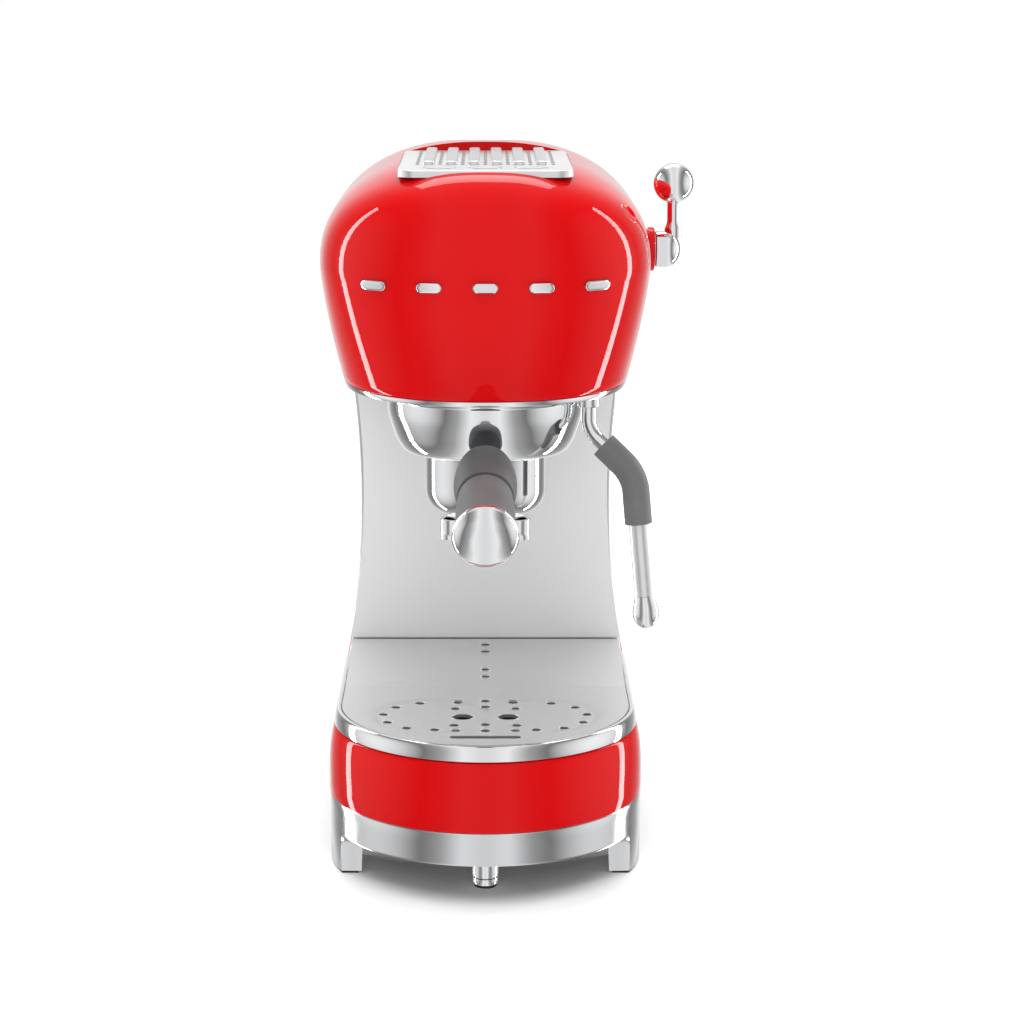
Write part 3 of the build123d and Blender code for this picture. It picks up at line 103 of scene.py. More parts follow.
def object_noise(tree, scale, stretch):
    """Noise node that reads Object coordinates, with its own stretch along each axis."""
    coords = tree.nodes.new("ShaderNodeTexCoord")
    place = tree.nodes.new("ShaderNodeMapping")
    place.inputs["Scale"].default_value = stretch
    noise = tree.nodes.new("ShaderNodeTexNoise")
    noise.inputs["Scale"].default_value = scale
    tree.links.new(coords.outputs["Object"], place.inputs["Vector"])
    tree.links.new(place.outputs["Vector"], noise.inputs["Vector"])
    return noise


def grain(mat, shader, scale, strength, stretch=(1, 1, 1), rough=None, detail=3.0):
    """Noise bump on a material, and a spread of roughness where rough gives its two ends."""
    tree = mat.node_tree
    noise = object_noise(tree, scale, stretch)
    noise.inputs["Detail"].default_value = detail
    bump = tree.nodes.new("ShaderNodeBump")
    bump.inputs["Strength"].default_value = strength
    bump.inputs["Distance"].default_value = bump_height
    tree.links.new(noise.outputs["Fac"], bump.inputs["Height"])
    tree.links.new(bump.outputs["Normal"], shader.inputs["Normal"])
    if rough:
        spread = tree.nodes.new("ShaderNodeMapRange")
        spread.inputs["To Min"].default_value = rough[0]
        spread.inputs["To Max"].default_value = rough[1]
        tree.links.new(noise.outputs["Fac"], spread.inputs["Value"])
        tree.links.new(spread.outputs["Result"], shader.inputs["Roughness"])
    return mat


def tint(mat, shader, first, second, scale, stretch=(1, 1, 1)):
    """Slow change of colour between two tones."""
    tree = mat.node_tree
    noise = object_noise(tree, scale, stretch)
    ramp = tree.nodes.new("ShaderNodeValToRGB")
    ramp.color_ramp.elements[0].position = 0.3
    ramp.color_ramp.elements[1].position = 0.7
    ramp.color_ramp.elements[0].color = (*first, 1)
    ramp.color_ramp.elements[1].color = (*second, 1)
    tree.links.new(noise.outputs["Fac"], ramp.inputs["Fac"])
    tree.links.new(ramp.outputs["Color"], shader.inputs["Base Color"])
    return mat


finish = {}


def red_enamel():
    """Thick glossy enamel: a clear coat over a deep red, with a trace of orange peel."""
    mat, shader = new_finish(
        "red_enamel", (0.56, 0.002, 0.003), 0.4,
        Specular_IOR_Level=0.0, Coat_Weight=1.0, Coat_Roughness=0.025,
        Coat_IOR=1.27,
    )
    tint(mat, shader, (0.545, 0.002, 0.003), (0.58, 0.003, 0.004), 18)
    return grain(mat, shader, 320, 0.03)


def bright_chrome():
    """Plated chrome with a faint haze."""
    mat, shader = new_finish("bright_chrome", (0.86, 0.865, 0.875), 0.06, 1.0)
    return grain(mat, shader, 140, 0.02, rough=(0.035, 0.085))


def satin_chrome():
    """Softer plating on the cast base."""
    mat, shader = new_finish("satin_chrome", (0.74, 0.745, 0.755), 0.16, 1.0)
    return grain(mat, shader, 240, 0.05, rough=(0.13, 0.2))


def brushed_steel():
    """Steel sheet brushed from side to side."""
    mat, shader = new_finish("brushed_steel", (0.76, 0.76, 0.76), 0.32, 0.8, Anisotropic=0.3)
    return grain(mat, shader, 260, 0.14, stretch=(0.05, 3, 3), rough=(0.24, 0.38))


def panel_steel():
    """Fine vertical brush on the column, almost matt."""
    mat, shader = new_finish("panel_steel", (0.88, 0.88, 0.885), 0.5, 0.35)
    return grain(mat, shader, 300, 0.08, stretch=(3, 3, 0.05), rough=(0.44, 0.56))


def silver_paint():
    """Metallic paint on the column's moulded sides."""
    mat, shader = new_finish("silver_paint", (0.60, 0.605, 0.615), 0.38, 0.7)
    return grain(mat, shader, 900, 0.08)


def moulded(name, color, rough, scale=700, strength=0.25):
    """Moulded plastic or rubber with a fine texture."""
    mat, shader = new_finish(name, color, rough)
    tint(mat, shader, [c * 0.92 for c in color], [c * 1.08 for c in color], 60)
    return grain(mat, shader, scale, strength, rough=(rough - 0.05, rough + 0.05))


def metal(name, color, rough, scale=300, strength=0.1):
    """Bare or plated metal with a machined or cast texture."""
    mat, shader = new_finish(name, color, rough, 1.0)
    return grain(mat, shader, scale, strength, rough=(rough - 0.05, rough + 0.07))


def smoked_clear():
    """Smoked clear plastic of the tank."""
    mat, shader = new_finish("smoked_clear", (0.42, 0.43, 0.45), 0.05, Transmission_Weight=0.92, IOR=1.49)
    return grain(mat, shader, 40, 0.03)


finish["red_enamel"] = red_enamel()
finish["chrome"] = bright_chrome()
finish["satin_chrome"] = satin_chrome()
finish["brushed_steel"] = brushed_steel()
finish["panel_steel"] = panel_steel()
finish["silver_plastic"] = silver_paint()
finish["grip_grey"] = moulded("grip_grey", (0.125, 0.127, 0.13), 0.5)
finish["neck_grey"] = moulded("neck_grey", (0.085, 0.087, 0.09), 0.48)
finish["dark_plastic"] = moulded("dark_plastic", (0.03, 0.03, 0.032), 0.5)
finish["tray_grey"] = moulded("tray_grey", (0.09, 0.09, 0.095), 0.5)
finish["rubber"] = moulded("rubber", (0.02, 0.02, 0.02), 0.75, 400, 0.4)
finish["hose"] = moulded("hose", (0.72, 0.71, 0.66), 0.35, 200, 0.1)
finish["zinc_steel"] = metal("zinc_steel", (0.58, 0.58, 0.57), 0.33)
finish["brass"] = metal("brass", (0.66, 0.46, 0.18), 0.28)
finish["copper_pipe"] = metal("copper_pipe", (0.66, 0.31, 0.17), 0.3)
finish["cast_aluminium"] = metal("cast_aluminium", (0.6, 0.6, 0.61), 0.48, 500, 0.4)
finish["board_green"] = moulded("board_green", (0.015, 0.11, 0.05), 0.4)
finish["smoked_clear"] = smoked_clear()
print("finishes:", len(finish))


# %% [markdown]
# ## Making a piece
# A piece is a mesh in metres with its object at the origin. Doubles are merged, faces are turned
# outwards and edges sharper than an angle stay crisp. Then the piece rides on its CAD body, takes
# a material slot and stands for one or more CAD nodes.

# %% Helpers for pieces
sharp_angle = 32


def body_of(node):
    """Name of the body that a CAD node rides on."""
    for body, nodes in frame["record"]["behaviour"]["bodies"].items():
        if node in nodes:
            return body
    raise ValueError(node)


node_slot = {row["node"]: row["material_slot"] for row in frame["record"]["subparts"]}


def make_piece(name, verts, faces, nodes, look=None, sharp=sharp_angle, outward=True):
    """Mesh piece from millimetre points that stands for CAD nodes."""
    mesh = bpy.data.meshes.new(name)
    mesh.from_pydata([tuple(c * MM for c in v) for v in verts], [], faces)
    return finish_mesh(name, mesh, nodes, look, sharp, outward)


def finish_mesh(name, mesh, nodes, look=None, sharp=sharp_angle, outward=True):
    """Clean a mesh, wrap it in an object and tie it to the frame."""
    work = bmesh.new()
    work.from_mesh(mesh)
    bmesh.ops.remove_doubles(work, verts=work.verts, dist=2e-6)
    if outward:
        bmesh.ops.recalc_face_normals(work, faces=work.faces)
    work.to_mesh(mesh)
    work.free()
    mesh.shade_smooth()
    mesh.set_sharp_from_angle(angle=radians(sharp))
    mesh.materials.clear()
    mesh.materials.append(finish[look or node_slot[nodes[0]]])
    piece = bpy.data.objects.new(name, mesh)
    bpy.context.scene.collection.objects.link(piece)
    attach(piece, body_of(nodes[0]))
    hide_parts(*nodes)
    return piece


def stack(loops, closed=True, capped=False):
    """Faces between loops of equal length; closed joins the last loop to the first."""
    size = len(loops[0])
    verts = [point for loop in loops for point in loop]
    faces = []
    pairs = range(len(loops) if closed else len(loops) - 1)
    for row in pairs:
        upper = (row + 1) % len(loops)
        for i in range(size):
            j = (i + 1) % size
            faces.append((row * size + i, row * size + j, upper * size + j, upper * size + i))
    if capped:
        faces.append(tuple(range(size)))
        faces.append(tuple((len(loops) - 1) * size + i for i in range(size)))
    return verts, faces


def smooth_curve(points, per=6):
    """Catmull-Rom points through a list of 2-D points."""
    out = []
    for i in range(len(points) - 1):
        p0 = points[max(i - 1, 0)]
        p1, p2 = points[i], points[i + 1]
        p3 = points[min(i + 2, len(points) - 1)]
        for k in range(per):
            t = k / per
            out.append(
                tuple(
                    0.5 * (2 * b + (c - a) * t + (2 * a - 5 * b + 4 * c - d) * t * t
                           + (3 * b - a - 3 * c + d) * t**3)
                    for a, b, c, d in zip(p0, p1, p2, p3)
                )
            )
    return out + [tuple(points[-1])]


def lathe(profile, origin, axis, turns=96):
    """Loops of a profile of (distance along the axis, radius) turned round an axis."""
    axis = Vector(axis).normalized()
    side = axis.orthogonal().normalized()
    other = axis.cross(side)
    loops = []
    for along, radius in profile:
        centre = Vector(origin) + axis * along
        loops.append(
            [
                tuple(centre + (side * cos(2 * pi * i / turns) + other * sin(2 * pi * i / turns)) * radius)
                for i in range(turns)
            ]
        )
    return loops


def turned(name, profile, origin, axis, nodes, look=None, turns=96, closed=False, sharp=sharp_angle):
    """Turned piece; an open profile is capped at both ends."""
    verts, faces = stack(lathe(profile, origin, axis, turns), closed=closed, capped=not closed)
    return make_piece(name, verts, faces, nodes, look, sharp)


# %% [markdown]
# ## Base
# The base follows one outline: a half circle in front, straight sides and rounded back corners.
# A shell is a stack of those outlines at different insets and heights, which gives clean rows of
# quads that reflections run along. The skirt's lower edge drops into four legs where the side
# view says so.

# %% Base outline
back_corner = 30.0


def outline(inset, count=200):
    """Points round the base outline, drawn in by inset, from the right-hand side clockwise."""
    half = base_r - inset
    corner = back_corner - inset
    points = [
        (half * cos(-pi * i / count), nose_y + half * sin(-pi * i / count)) for i in range(count + 1)
    ]
    back = base_back - inset
    side_rows = 190
    top = back - corner
    left = [(-half, nose_y + (top - nose_y) * (i + 1) / side_rows) for i in range(side_rows)]
    arc = [
        (-half + corner - corner * cos(pi / 2 * i / 14), top + corner * sin(pi / 2 * i / 14))
        for i in range(1, 15)
    ]
    rear = [(-(half - corner) + 2 * (half - corner) * i / 12, back) for i in range(1, 12)]
    mirror = [(-x, y) for x, y in reversed(arc)]
    right = [(-x, y) for x, y in reversed(left)]
    return points + left + arc + rear + mirror + right


def plan_loops(profile):
    """Loops of the base outline for a profile of (inset, height)."""
    return [[(x, y, z) for x, y in outline(inset)] for inset, z in profile]


# %% Painted band
shoulder = smooth_curve(
    [(0.0, 40), (0.05, 48), (0.45, 55), (1.1, 60), (1.9, 63.6), (2.7, 65.4), (3.6, band_high.z)]
)
band_profile = [(0.5, band_low.z), (0.15, band_low.z + 0.3), (0.0, band_low.z + 0.9)] + shoulder
band_profile += [(5.2, band_high.z), (5.2, band_low.z)]
band = make_piece("painted_band", *stack(plan_loops(band_profile)), ["base_band"])


def cut(piece, cutter_mesh):
    """Takes a closed cutter mesh out of a piece."""
    cutter = bpy.data.objects.new("cutter", cutter_mesh)
    bpy.context.scene.collection.objects.link(cutter)
    boolean = piece.modifiers.new("cut", "BOOLEAN")
    boolean.operation = "DIFFERENCE"
    boolean.solver = "EXACT"
    boolean.object = cutter
    bpy.context.view_layer.update()
    shaped = bpy.data.meshes.new_from_object(piece.evaluated_get(bpy.context.evaluated_depsgraph_get()))
    piece.modifiers.clear()
    old = piece.data
    piece.data = shaped
    bpy.data.meshes.remove(old)
    bpy.data.objects.remove(cutter)
    piece.data.shade_smooth()
    piece.data.set_sharp_from_angle(angle=radians(sharp_angle))
    return piece


def block_mesh(low, high):
    """Closed box mesh between two corners."""
    work = bmesh.new()
    bmesh.ops.create_cube(work, size=1.0)
    for v in work.verts:
        v.co = Vector([(low[i] + (high[i] - low[i]) * (v.co[i] + 0.5)) * MM for i in range(3)])
    mesh = bpy.data.meshes.new("block")
    work.to_mesh(mesh)
    work.free()
    return mesh


def closed_mesh(name, verts, faces):
    """Mesh from millimetre points with its faces turned outwards."""
    mesh = bpy.data.meshes.new(name)
    mesh.from_pydata([tuple(c * MM for c in v) for v in verts], [], faces)
    work = bmesh.new()
    work.from_mesh(mesh)
    bmesh.ops.recalc_face_normals(work, faces=work.faces)
    work.to_mesh(mesh)
    work.free()
    return mesh


def rod_mesh(start, end, radius, turns=48):
    """Closed cylinder mesh between two points."""
    axis = Vector(end) - Vector(start)
    loops = lathe([(0, radius), (axis.length, radius)], start, axis, turns)
    return closed_mesh("rod", *stack(loops, False, True))


rear_in, rear_out = base_back - 12, base_back + 6
frame_rim, bush_hole_r = 1.6, 7.1
frame_low, frame_high = low_high("rocker_frame")
cut(band, block_mesh((frame_low.x + frame_rim, rear_in, frame_low.z + frame_rim),
                     (frame_high.x - frame_rim, rear_out, frame_high.z - frame_rim)))
bush_low, bush_high = low_high("cord_bushing")
bush_x, bush_z = (bush_low.x + bush_high.x) / 2, (bush_low.z + bush_high.z) / 2
cut(band, rod_mesh((bush_x, rear_in, bush_z), (bush_x, rear_out, bush_z), bush_hole_r))
print("painted band:", len(band.data.polygons), "faces")

# %% [markdown]
# ## Skirt and legs
# The skirt is made of the same stacked outlines. Its lower edge follows a rule of height against
# place, so the four legs and their rounded arches need no cut.

# %% Skirt and legs
skirt_inset = base_r - (skirt_high.x - skirt_low.x) / 2
leg_top = 18.4
leg_wall = 9.0
skirt_wall = 3.0
arch = 7.0
front_leg = (15.5, 45.5)
rear_leg = (base_back - 48.0, base_back + 1.0)
rear_gap_half = 44


def leg_depth(x, y):
    """Height of the skirt's lower edge at a point of the outline."""
    if y > base_back - 2 * back_corner and abs(x) < rear_gap_half:
        return leg_top
    for start, end in (front_leg, rear_leg):
        if start <= y <= end:
            return skirt_low.z
        reach = start - y if y < start else y - end
        if 0 < reach < arch:
            return leg_top - arch + sqrt(max(arch**2 - (arch - reach) ** 2, 0))
    return leg_top


def skirt_loop(inset, lift, inside=False):
    """Outline at the skirt's lower edge plus lift; inside draws a leg in by its wall."""
    loop = []
    outer = outline(skirt_inset)
    for i, (x, y) in enumerate(outline(inset)):
        edge = leg_depth(*outer[i])
        if inside and edge < leg_top - 0.5:
            x, y = leg_inner[i]
            if outer[i][1] < nose_y:
                y = outer[i][1]
                inner_r = base_r - skirt_inset - leg_wall
                x = sqrt(inner_r**2 - (nose_y - y) ** 2) * (1 if x > 0 else -1)
        loop.append((x, y, edge + lift))
    return loop


leg_inner = outline(skirt_inset + leg_wall)
skirt_loops = [
    skirt_loop(skirt_inset + skirt_wall, 0.0, inside=True),
    skirt_loop(skirt_inset + 1.0, 0.0),
    skirt_loop(skirt_inset + 0.3, 0.25),
    skirt_loop(skirt_inset, 0.9),
]
skirt_profile = [(0, 19.6), (0, 24), (0, 29), (0, 32.6), (0.2, 33.5), (0.8, skirt_high.z)]
skirt_profile += [(skirt_wall, skirt_high.z), (skirt_wall, leg_top + 1.6)]
skirt_loops += plan_loops([(skirt_inset + inset, z) for inset, z in skirt_profile])
skirt_loops.append([(x, y, leg_top + 1.5) for x, y, z in skirt_loops[0]])
skirt = make_piece("cast_skirt", *stack(skirt_loops), ["base_skirt"], sharp=38)
print("cast skirt:", len(skirt.data.polygons), "faces")

# %% [markdown]
# ## Front foot
# A turned foot with a fine groove, spun from its profile.

# %% Turned front foot
foot_low, foot_high = low_high("front_foot")
foot_r = foot_high.x
foot_profile = [(0, 0.3), (0, foot_r - 1.6), (0.25, foot_r - 0.7), (0.9, foot_r - 0.35), (3.2, foot_r - 0.3)]
foot_profile += [(3.6, foot_r - 0.6), (4.0, foot_r - 0.6), (4.4, foot_r - 0.05)]
foot_profile += [(foot_high.z - foot_low.z, foot_r)]
turned("turned_foot", foot_profile, (0, 0, foot_low.z), (0, 0, 1), ["front_foot"])

# %% [markdown]
# ## Tray ring and drip grate
# The bright ring is one bevelled section carried round the nose and left open at the column. The
# grate is a thin sheet: its outline is filled with a fine grid, the holes are cut through it, and
# then every point is lifted or sunk by a rule, so the sheet rises behind the bend and dips under
# each cup. A rolled lip round each hole is the same small ring repeated, which Geometry Nodes does.

# %% Ring section carried round the nose
def open_order(loop, keep):
    """Indices of a closed loop's kept points, in order along the opening's one run."""
    size = len(loop)
    start = next(i for i in range(size) if keep(loop[i]) and not keep(loop[i - 1]))
    run = []
    while keep(loop[(start + len(run)) % size]):
        run.append((start + len(run)) % size)
    return run


def open_sweep(section, plan, keep):
    """Closed section of (inset, height) carried along the kept part of a plan; ends are capped."""
    run = open_order(plan(0.0), keep)
    rails = [(plan(inset), z) for inset, z in section]
    loops = [[(*rail[i], z) for rail, z in rails] for i in run]
    return stack(loops, closed=False, capped=True)


ring_section = [(2.6, 66.3), (2.42, 66.5), (2.4, 66.9), (2.5, 68.4), (2.85, 70.6), (3.35, 72.3)]
ring_section += [(3.8, 73.1), (4.3, 73.38), (4.9, 73.4), (5.4, 73.36), (5.68, 73.1), (5.7, 72.6)]
ring_section += [(5.7, 68.2), (3.95, 68.2), (3.95, 66.3)]
ring_back = ring_high.y
make_piece("bevelled_ring", *open_sweep(ring_section, outline, lambda p: p[1] <= ring_back), ["tray_ring"])
print("ring section points:", len(ring_section))


# %% Grate sheet
sheet_t = 1.6
grate_half = (grate_high.x - grate_low.x) / 2
grate_top = 73.4
bend_y = 74.0
ramp_rise = grate_high.z - grate_top
cup_x, cup_y, dip_r = 25.0, 25.0, 27.5
dip_edge, dip_deep = 1.6, 0.55


def grate_width(y):
    """Half-width of the grate at a distance from the front."""
    return grate_half if y >= nose_y else sqrt(max(grate_half**2 - (nose_y - y) ** 2, 0.01))


def grate_lift(x, y):
    """How far the sheet stands above its level part: a ramp behind the bend, a dip under a cup."""
    ramp = max(y - bend_y, 0) / (grate_high.y - bend_y)
    lift = ramp_rise * ramp
    for cup in (-cup_x, cup_x):
        edge = min(max((dip_r - sqrt((x - cup) ** 2 + (y - cup_y) ** 2)) / dip_edge, 0), 1)
        lift -= dip_deep * edge * edge * (3 - 2 * edge)
    return lift


nose_rows, back_rows, columns = 40, 52, 70
rows = [nose_y - grate_half * cos(pi / 2 * i / nose_rows) for i in range(1, nose_rows)]
rows += [nose_y + (grate_high.y - nose_y) * i / back_rows for i in range(back_rows + 1)]
verts, faces = [], []
for level in (0.0, -sheet_t):
    for y in rows:
        half = grate_width(y)
        verts += [(half * (2 * i / columns - 1), y, grate_top + level) for i in range(columns + 1)]
wide = columns + 1
below = wide * len(rows)
for r in range(len(rows) - 1):
    for i in range(columns):
        a = r * wide + i
        faces.append((a, a + 1, a + wide + 1, a + wide))
        faces.append((below + a, below + a + wide, below + a + wide + 1, below + a + 1))
    for i in (0, columns):
        a = r * wide + i
        faces.append((a, a + wide, below + a + wide, below + a))
for r in (0, len(rows) - 1):
    for i in range(columns):
        a = r * wide + i
        faces.append((a, below + a, below + a + 1, a + 1))
sheet_sharp = 40
sheet = make_piece("grate_sheet", verts, faces, ["drip_grate"], sharp=sheet_sharp)

# %% [markdown]
# ## Holes in the grate
# The drains stand in pairs down the middle, in a short row on each side of it, and on an arc round
# each cup. All the cutters are joined into one mesh, so the sheet is cut once.

# %% Hole places
drain_r = 2.4
sink_r = 5.0
arc_r = 22.2
cut_low, cut_high = 60, 90
drains = [(0.0, y + step) for y in (4.3, 43.5, 92.5, 128.0) for step in (-4.9, 4.9)]
for x, y in ((13.6, 0.0), (14.3, 10.0), (14.1, 37.5), (13.0, 48.0)):
    drains += [(-x, y), (x, y)]
for step in range(6):
    angle = radians(-95 + 34 * step)
    x, y = cup_x + arc_r * cos(angle), cup_y + arc_r * sin(angle)
    drains += [(-x, y), (x, y)]
sinks = [(-10.5, 23.5), (10.5, 23.5)]


def merged(meshes):
    """One mesh from several, in place."""
    work = bmesh.new()
    for mesh in meshes:
        work.from_mesh(mesh)
    out = bpy.data.meshes.new("cutters")
    work.to_mesh(out)
    work.free()
    return out


cutters = [rod_mesh((x, y, cut_low), (x, y, cut_high), drain_r, 24) for x, y in drains]
cutters += [rod_mesh((x, y, cut_low), (x, y, cut_high), sink_r, 40) for x, y in sinks]
slot_half, slot_reach, slot_y = 2.15, 13.85, -10.6
slot_loop = [
    (side * slot_reach + slot_half * cos(a), slot_y + slot_half * sin(a))
    for side, start in ((1, -pi / 2), (-1, pi / 2))
    for a in [start + pi * i / 12 for i in range(13)]
]


def prism_mesh(loop, low, high):
    """Closed prism over a plan loop."""
    return closed_mesh("prism", *stack([[(x, y, z) for x, y in loop] for z in (low, high)], False, True))


cutters.append(prism_mesh(slot_loop, cut_low, cut_high))
cut(sheet, merged(cutters))
for v in sheet.data.vertices:
    v.co.z += grate_lift(v.co.x / MM, v.co.y / MM) * MM
sheet.data.shade_smooth()
sheet.data.set_sharp_from_angle(angle=radians(sheet_sharp))
print("grate holes:", len(drains) + len(sinks) + 1)


# %% Ring repeated at points
def repeat_tree(name, material):
    """Node tree that sets one small ring on every point of a mesh."""
    tree = bpy.data.node_groups.new(name, "GeometryNodeTree")
    tree.interface.new_socket("Geometry", in_out="INPUT", socket_type="NodeSocketGeometry")
    for label, value in (("Lip Radius", 0.0024), ("Lip Wire", 0.0003), ("Turns", 24), ("Wire Turns", 8)):
        kind = "NodeSocketInt" if isinstance(value, int) else "NodeSocketFloat"
        socket = tree.interface.new_socket(label, in_out="INPUT", socket_type=kind)
        socket.default_value = value
    tree.interface.new_socket("Geometry", in_out="OUTPUT", socket_type="NodeSocketGeometry")
    node = tree.nodes.new
    come, go = node("NodeGroupInput"), node("NodeGroupOutput")
    path, wire = node("GeometryNodeCurvePrimitiveCircle"), node("GeometryNodeCurvePrimitiveCircle")
    tube, lay = node("GeometryNodeCurveToMesh"), node("GeometryNodeInstanceOnPoints")
    real, paint = node("GeometryNodeRealizeInstances"), node("GeometryNodeSetMaterial")
    paint.inputs["Material"].default_value = material
    link = tree.links.new
    link(come.outputs["Lip Radius"], path.inputs["Radius"])
    link(come.outputs["Turns"], path.inputs["Resolution"])
    link(come.outputs["Lip Wire"], wire.inputs["Radius"])
    link(come.outputs["Wire Turns"], wire.inputs["Resolution"])
    link(path.outputs["Curve"], tube.inputs["Curve"])
    link(wire.outputs["Curve"], tube.inputs["Profile Curve"])
    link(come.outputs["Geometry"], lay.inputs["Points"])
    link(tube.outputs["Mesh"], lay.inputs["Instance"])
    link(lay.outputs["Instances"], real.inputs["Geometry"])
    link(real.outputs["Geometry"], paint.inputs["Geometry"])
    link(paint.outputs["Geometry"], go.inputs["Geometry"])
    return tree


def repeated(name, places, tree, settings, node):
    """Plain mesh piece from a repeat tree run over places in millimetres."""
    points = bpy.data.meshes.new(name + "_points")
    points.from_pydata([tuple(c * MM for c in p) for p in places], [], [])
    holder = bpy.data.objects.new(name + "_points", points)
    bpy.context.scene.collection.objects.link(holder)
    runner = holder.modifiers.new("repeat", "NODES")
    runner.node_group = tree
    for item in tree.interface.items_tree:
        if item.in_out == "INPUT" and item.name in settings:
            runner[item.identifier] = settings[item.name]
    bpy.context.view_layer.update()
    mesh = bpy.data.meshes.new_from_object(holder.evaluated_get(bpy.context.evaluated_depsgraph_get()))
    holder.modifiers.clear()
    bpy.data.objects.remove(holder)
    mesh.shade_smooth()
    piece = bpy.data.objects.new(name, mesh)
    bpy.context.scene.collection.objects.link(piece)
    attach(piece, body_of(node))
    print(name, "made", len(places), "times")
    return piece


lip_tree = repeat_tree("rolled_lips", finish["brushed_steel"])
places = [(x, y, grate_top + grate_lift(x, y) - 0.12) for x, y in drains]
repeated("drain_lips", places, lip_tree, {"Lip Radius": 0.00245, "Lip Wire": 0.00026}, "drip_grate")
places = [(x, y, grate_top + grate_lift(x, y) - 0.12) for x, y in sinks]
repeated("sink_lips", places, lip_tree, {"Lip Radius": 0.0051, "Lip Wire": 0.0004, "Turns": 40}, "drip_grate")

# %% [markdown]
# ## Head
# The head is one rounded casing. Its shape follows two rules: a superellipse seen from the front
# gives the shoulders, and another seen from the side gives the brow. Both are turned into level
# cuts, close together where the surface turns fast, and skinned with quads.

# %% Head shape
chin_z, belly_z, crown_z = 225.0, 281.0, 330.0
head_half, chin_half = 75.0, 64.6
head_mid_y, head_front, chin_front, head_back = 60.0, -34.5, -24.0, 212.0
chin_spread = 0.075
spread_run = 90.0
shoulder_power, brow_power, taper_power = 2.25, 4.0, 1.4
chin_power, chin_power_gain, back_power = 2.25, 0.55, 5.0
head_wall = 2.6
lip_z = chin_z + 2.5
above_head = 340.0


def half_width(z):
    """Half-width of the head at a level."""
    if z >= belly_z:
        up = (z - belly_z) / (crown_z - belly_z)
        return head_half * (1 - up**shoulder_power) ** (1 / shoulder_power)
    return head_half - (head_half - chin_half) * ((belly_z - z) / (belly_z - chin_z)) ** taper_power


def reach(z, belly_reach, chin_reach):
    """Distance from the plan's middle to its front or back at a level."""
    if z >= belly_z:
        up = (z - belly_z) / (crown_z - belly_z)
        return belly_reach * (1 - up**brow_power) ** (1 / brow_power)
    return belly_reach - (belly_reach - chin_reach) * ((belly_z - z) / (belly_z - chin_z)) ** taper_power


def jaw_level(z):
    """0 at the chin, growing to 1 at the belly and staying there above it."""
    return min(max((z - chin_z) / (belly_z - chin_z), 0.0), 1.0)


def front_power(z):
    """How square the front half of a level cut is."""
    return chin_power + chin_power_gain * jaw_level(z)


def head_plan(z, inset=0.0, count=144):
    """Points round one level cut, from the back centre by the left side."""
    level = jaw_level(z)
    half = half_width(z) - inset
    front = reach(z, head_mid_y - head_front, head_mid_y - chin_front) - inset
    rear = reach(z, head_back - head_mid_y, head_back - head_mid_y) - inset
    points = []
    for step in range(count):
        angle = pi / 2 + 2 * pi * step / count
        c, s = cos(angle), sin(angle)
        power, far = (back_power, rear) if s > 0 else (front_power(z), front)
        size = (abs(c) ** power + abs(s) ** power) ** (-1 / power)
        y = head_mid_y + far * s * size
        along = min(max((y - head_mid_y) / spread_run, 0.0), 1.0)
        spread = 1 + chin_spread * (1 - level) * along * along * (3 - 2 * along)
        points.append((half * spread * c * size, y))
    return points


def head_loop(z, inset=0.0, drop=0.0):
    """Level cut as a loop in space."""
    return [(x, y, z - drop) for x, y in head_plan(z, inset)]


# %% Casing
pan_z = 320.2
recess_z = 322.8
inner_levels = [pan_z + head_wall, 316, 308, 299, 290, 283.7]
shell_loops = [head_loop(z, head_wall, head_wall) for z in inner_levels]
shell_loops += [head_loop(z, head_wall) for z in (280, 265, 250, 236, lip_z)]
shell_loops += [[(x, y, z) for x, y in head_plan(z, inset)] for z, inset in
                ((lip_z, 0.7), (lip_z + 0.15, 0.25), (lip_z + 0.6, 0.0))]
shell_loops += [head_loop(lip_z + (belly_z - lip_z) * i / 18) for i in range(1, 18)]
shoulder_steps, shoulder_end = 44, 89.2
for i in range(shoulder_steps):
    angle = radians(shoulder_end * i / (shoulder_steps - 1))
    shell_loops.append(head_loop(belly_z + (crown_z - belly_z) * sin(angle) ** (2 / shoulder_power)))
casing = make_piece("head_casing", *stack(shell_loops, closed=False, capped=True), ["head_shell"])


def rounded_loop(half, front, back, corner, per=10):
    """Plan loop of a rounded rectangle."""
    centres = ((half - corner, back - corner, 0), (-half + corner, back - corner, 1),
               (-half + corner, front + corner, 2), (half - corner, front + corner, 3))
    return [
        (x + corner * cos(pi / 2 * (quarter + i / per)), y + corner * sin(pi / 2 * (quarter + i / per)))
        for x, y, quarter in centres
        for i in range(per + 1)
    ]


plate_low, plate_high = low_high("cup_warmer")
plate_half = plate_high.x
cut(casing, prism_mesh(rounded_loop(plate_half + 0.4, plate_low.y - 0.4, plate_high.y + 0.4, 8.4),
                       recess_z - 0.4, above_head))
print("casing:", len(casing.data.polygons), "faces")

# %% [markdown]
# ## Chin strip and face pills
# The strip is a small section with broken corners, carried along the chin's own outline and left
# open at the column. The pills are five plain raised badges in a row. Each is a stack of shrinking
# loops whose points stand off the face, so a pill follows the head's curve.

# %% Bright strip under the chin
strip_back = low_high("head_trim")[1].y
strip_base = lip_z - 2.4
strip_section = [(0.6, lip_z), (0.2, lip_z - 0.2), (0.1, lip_z - 0.6), (0.1, strip_base + 0.7),
                 (0.3, strip_base + 0.2), (0.8, strip_base), (3.3, strip_base), (3.3, lip_z)]
make_piece(
    "chin_strip",
    *open_sweep(strip_section, lambda inset: head_plan(lip_z, inset), lambda p: p[1] <= strip_back),
    ["head_trim"],
)


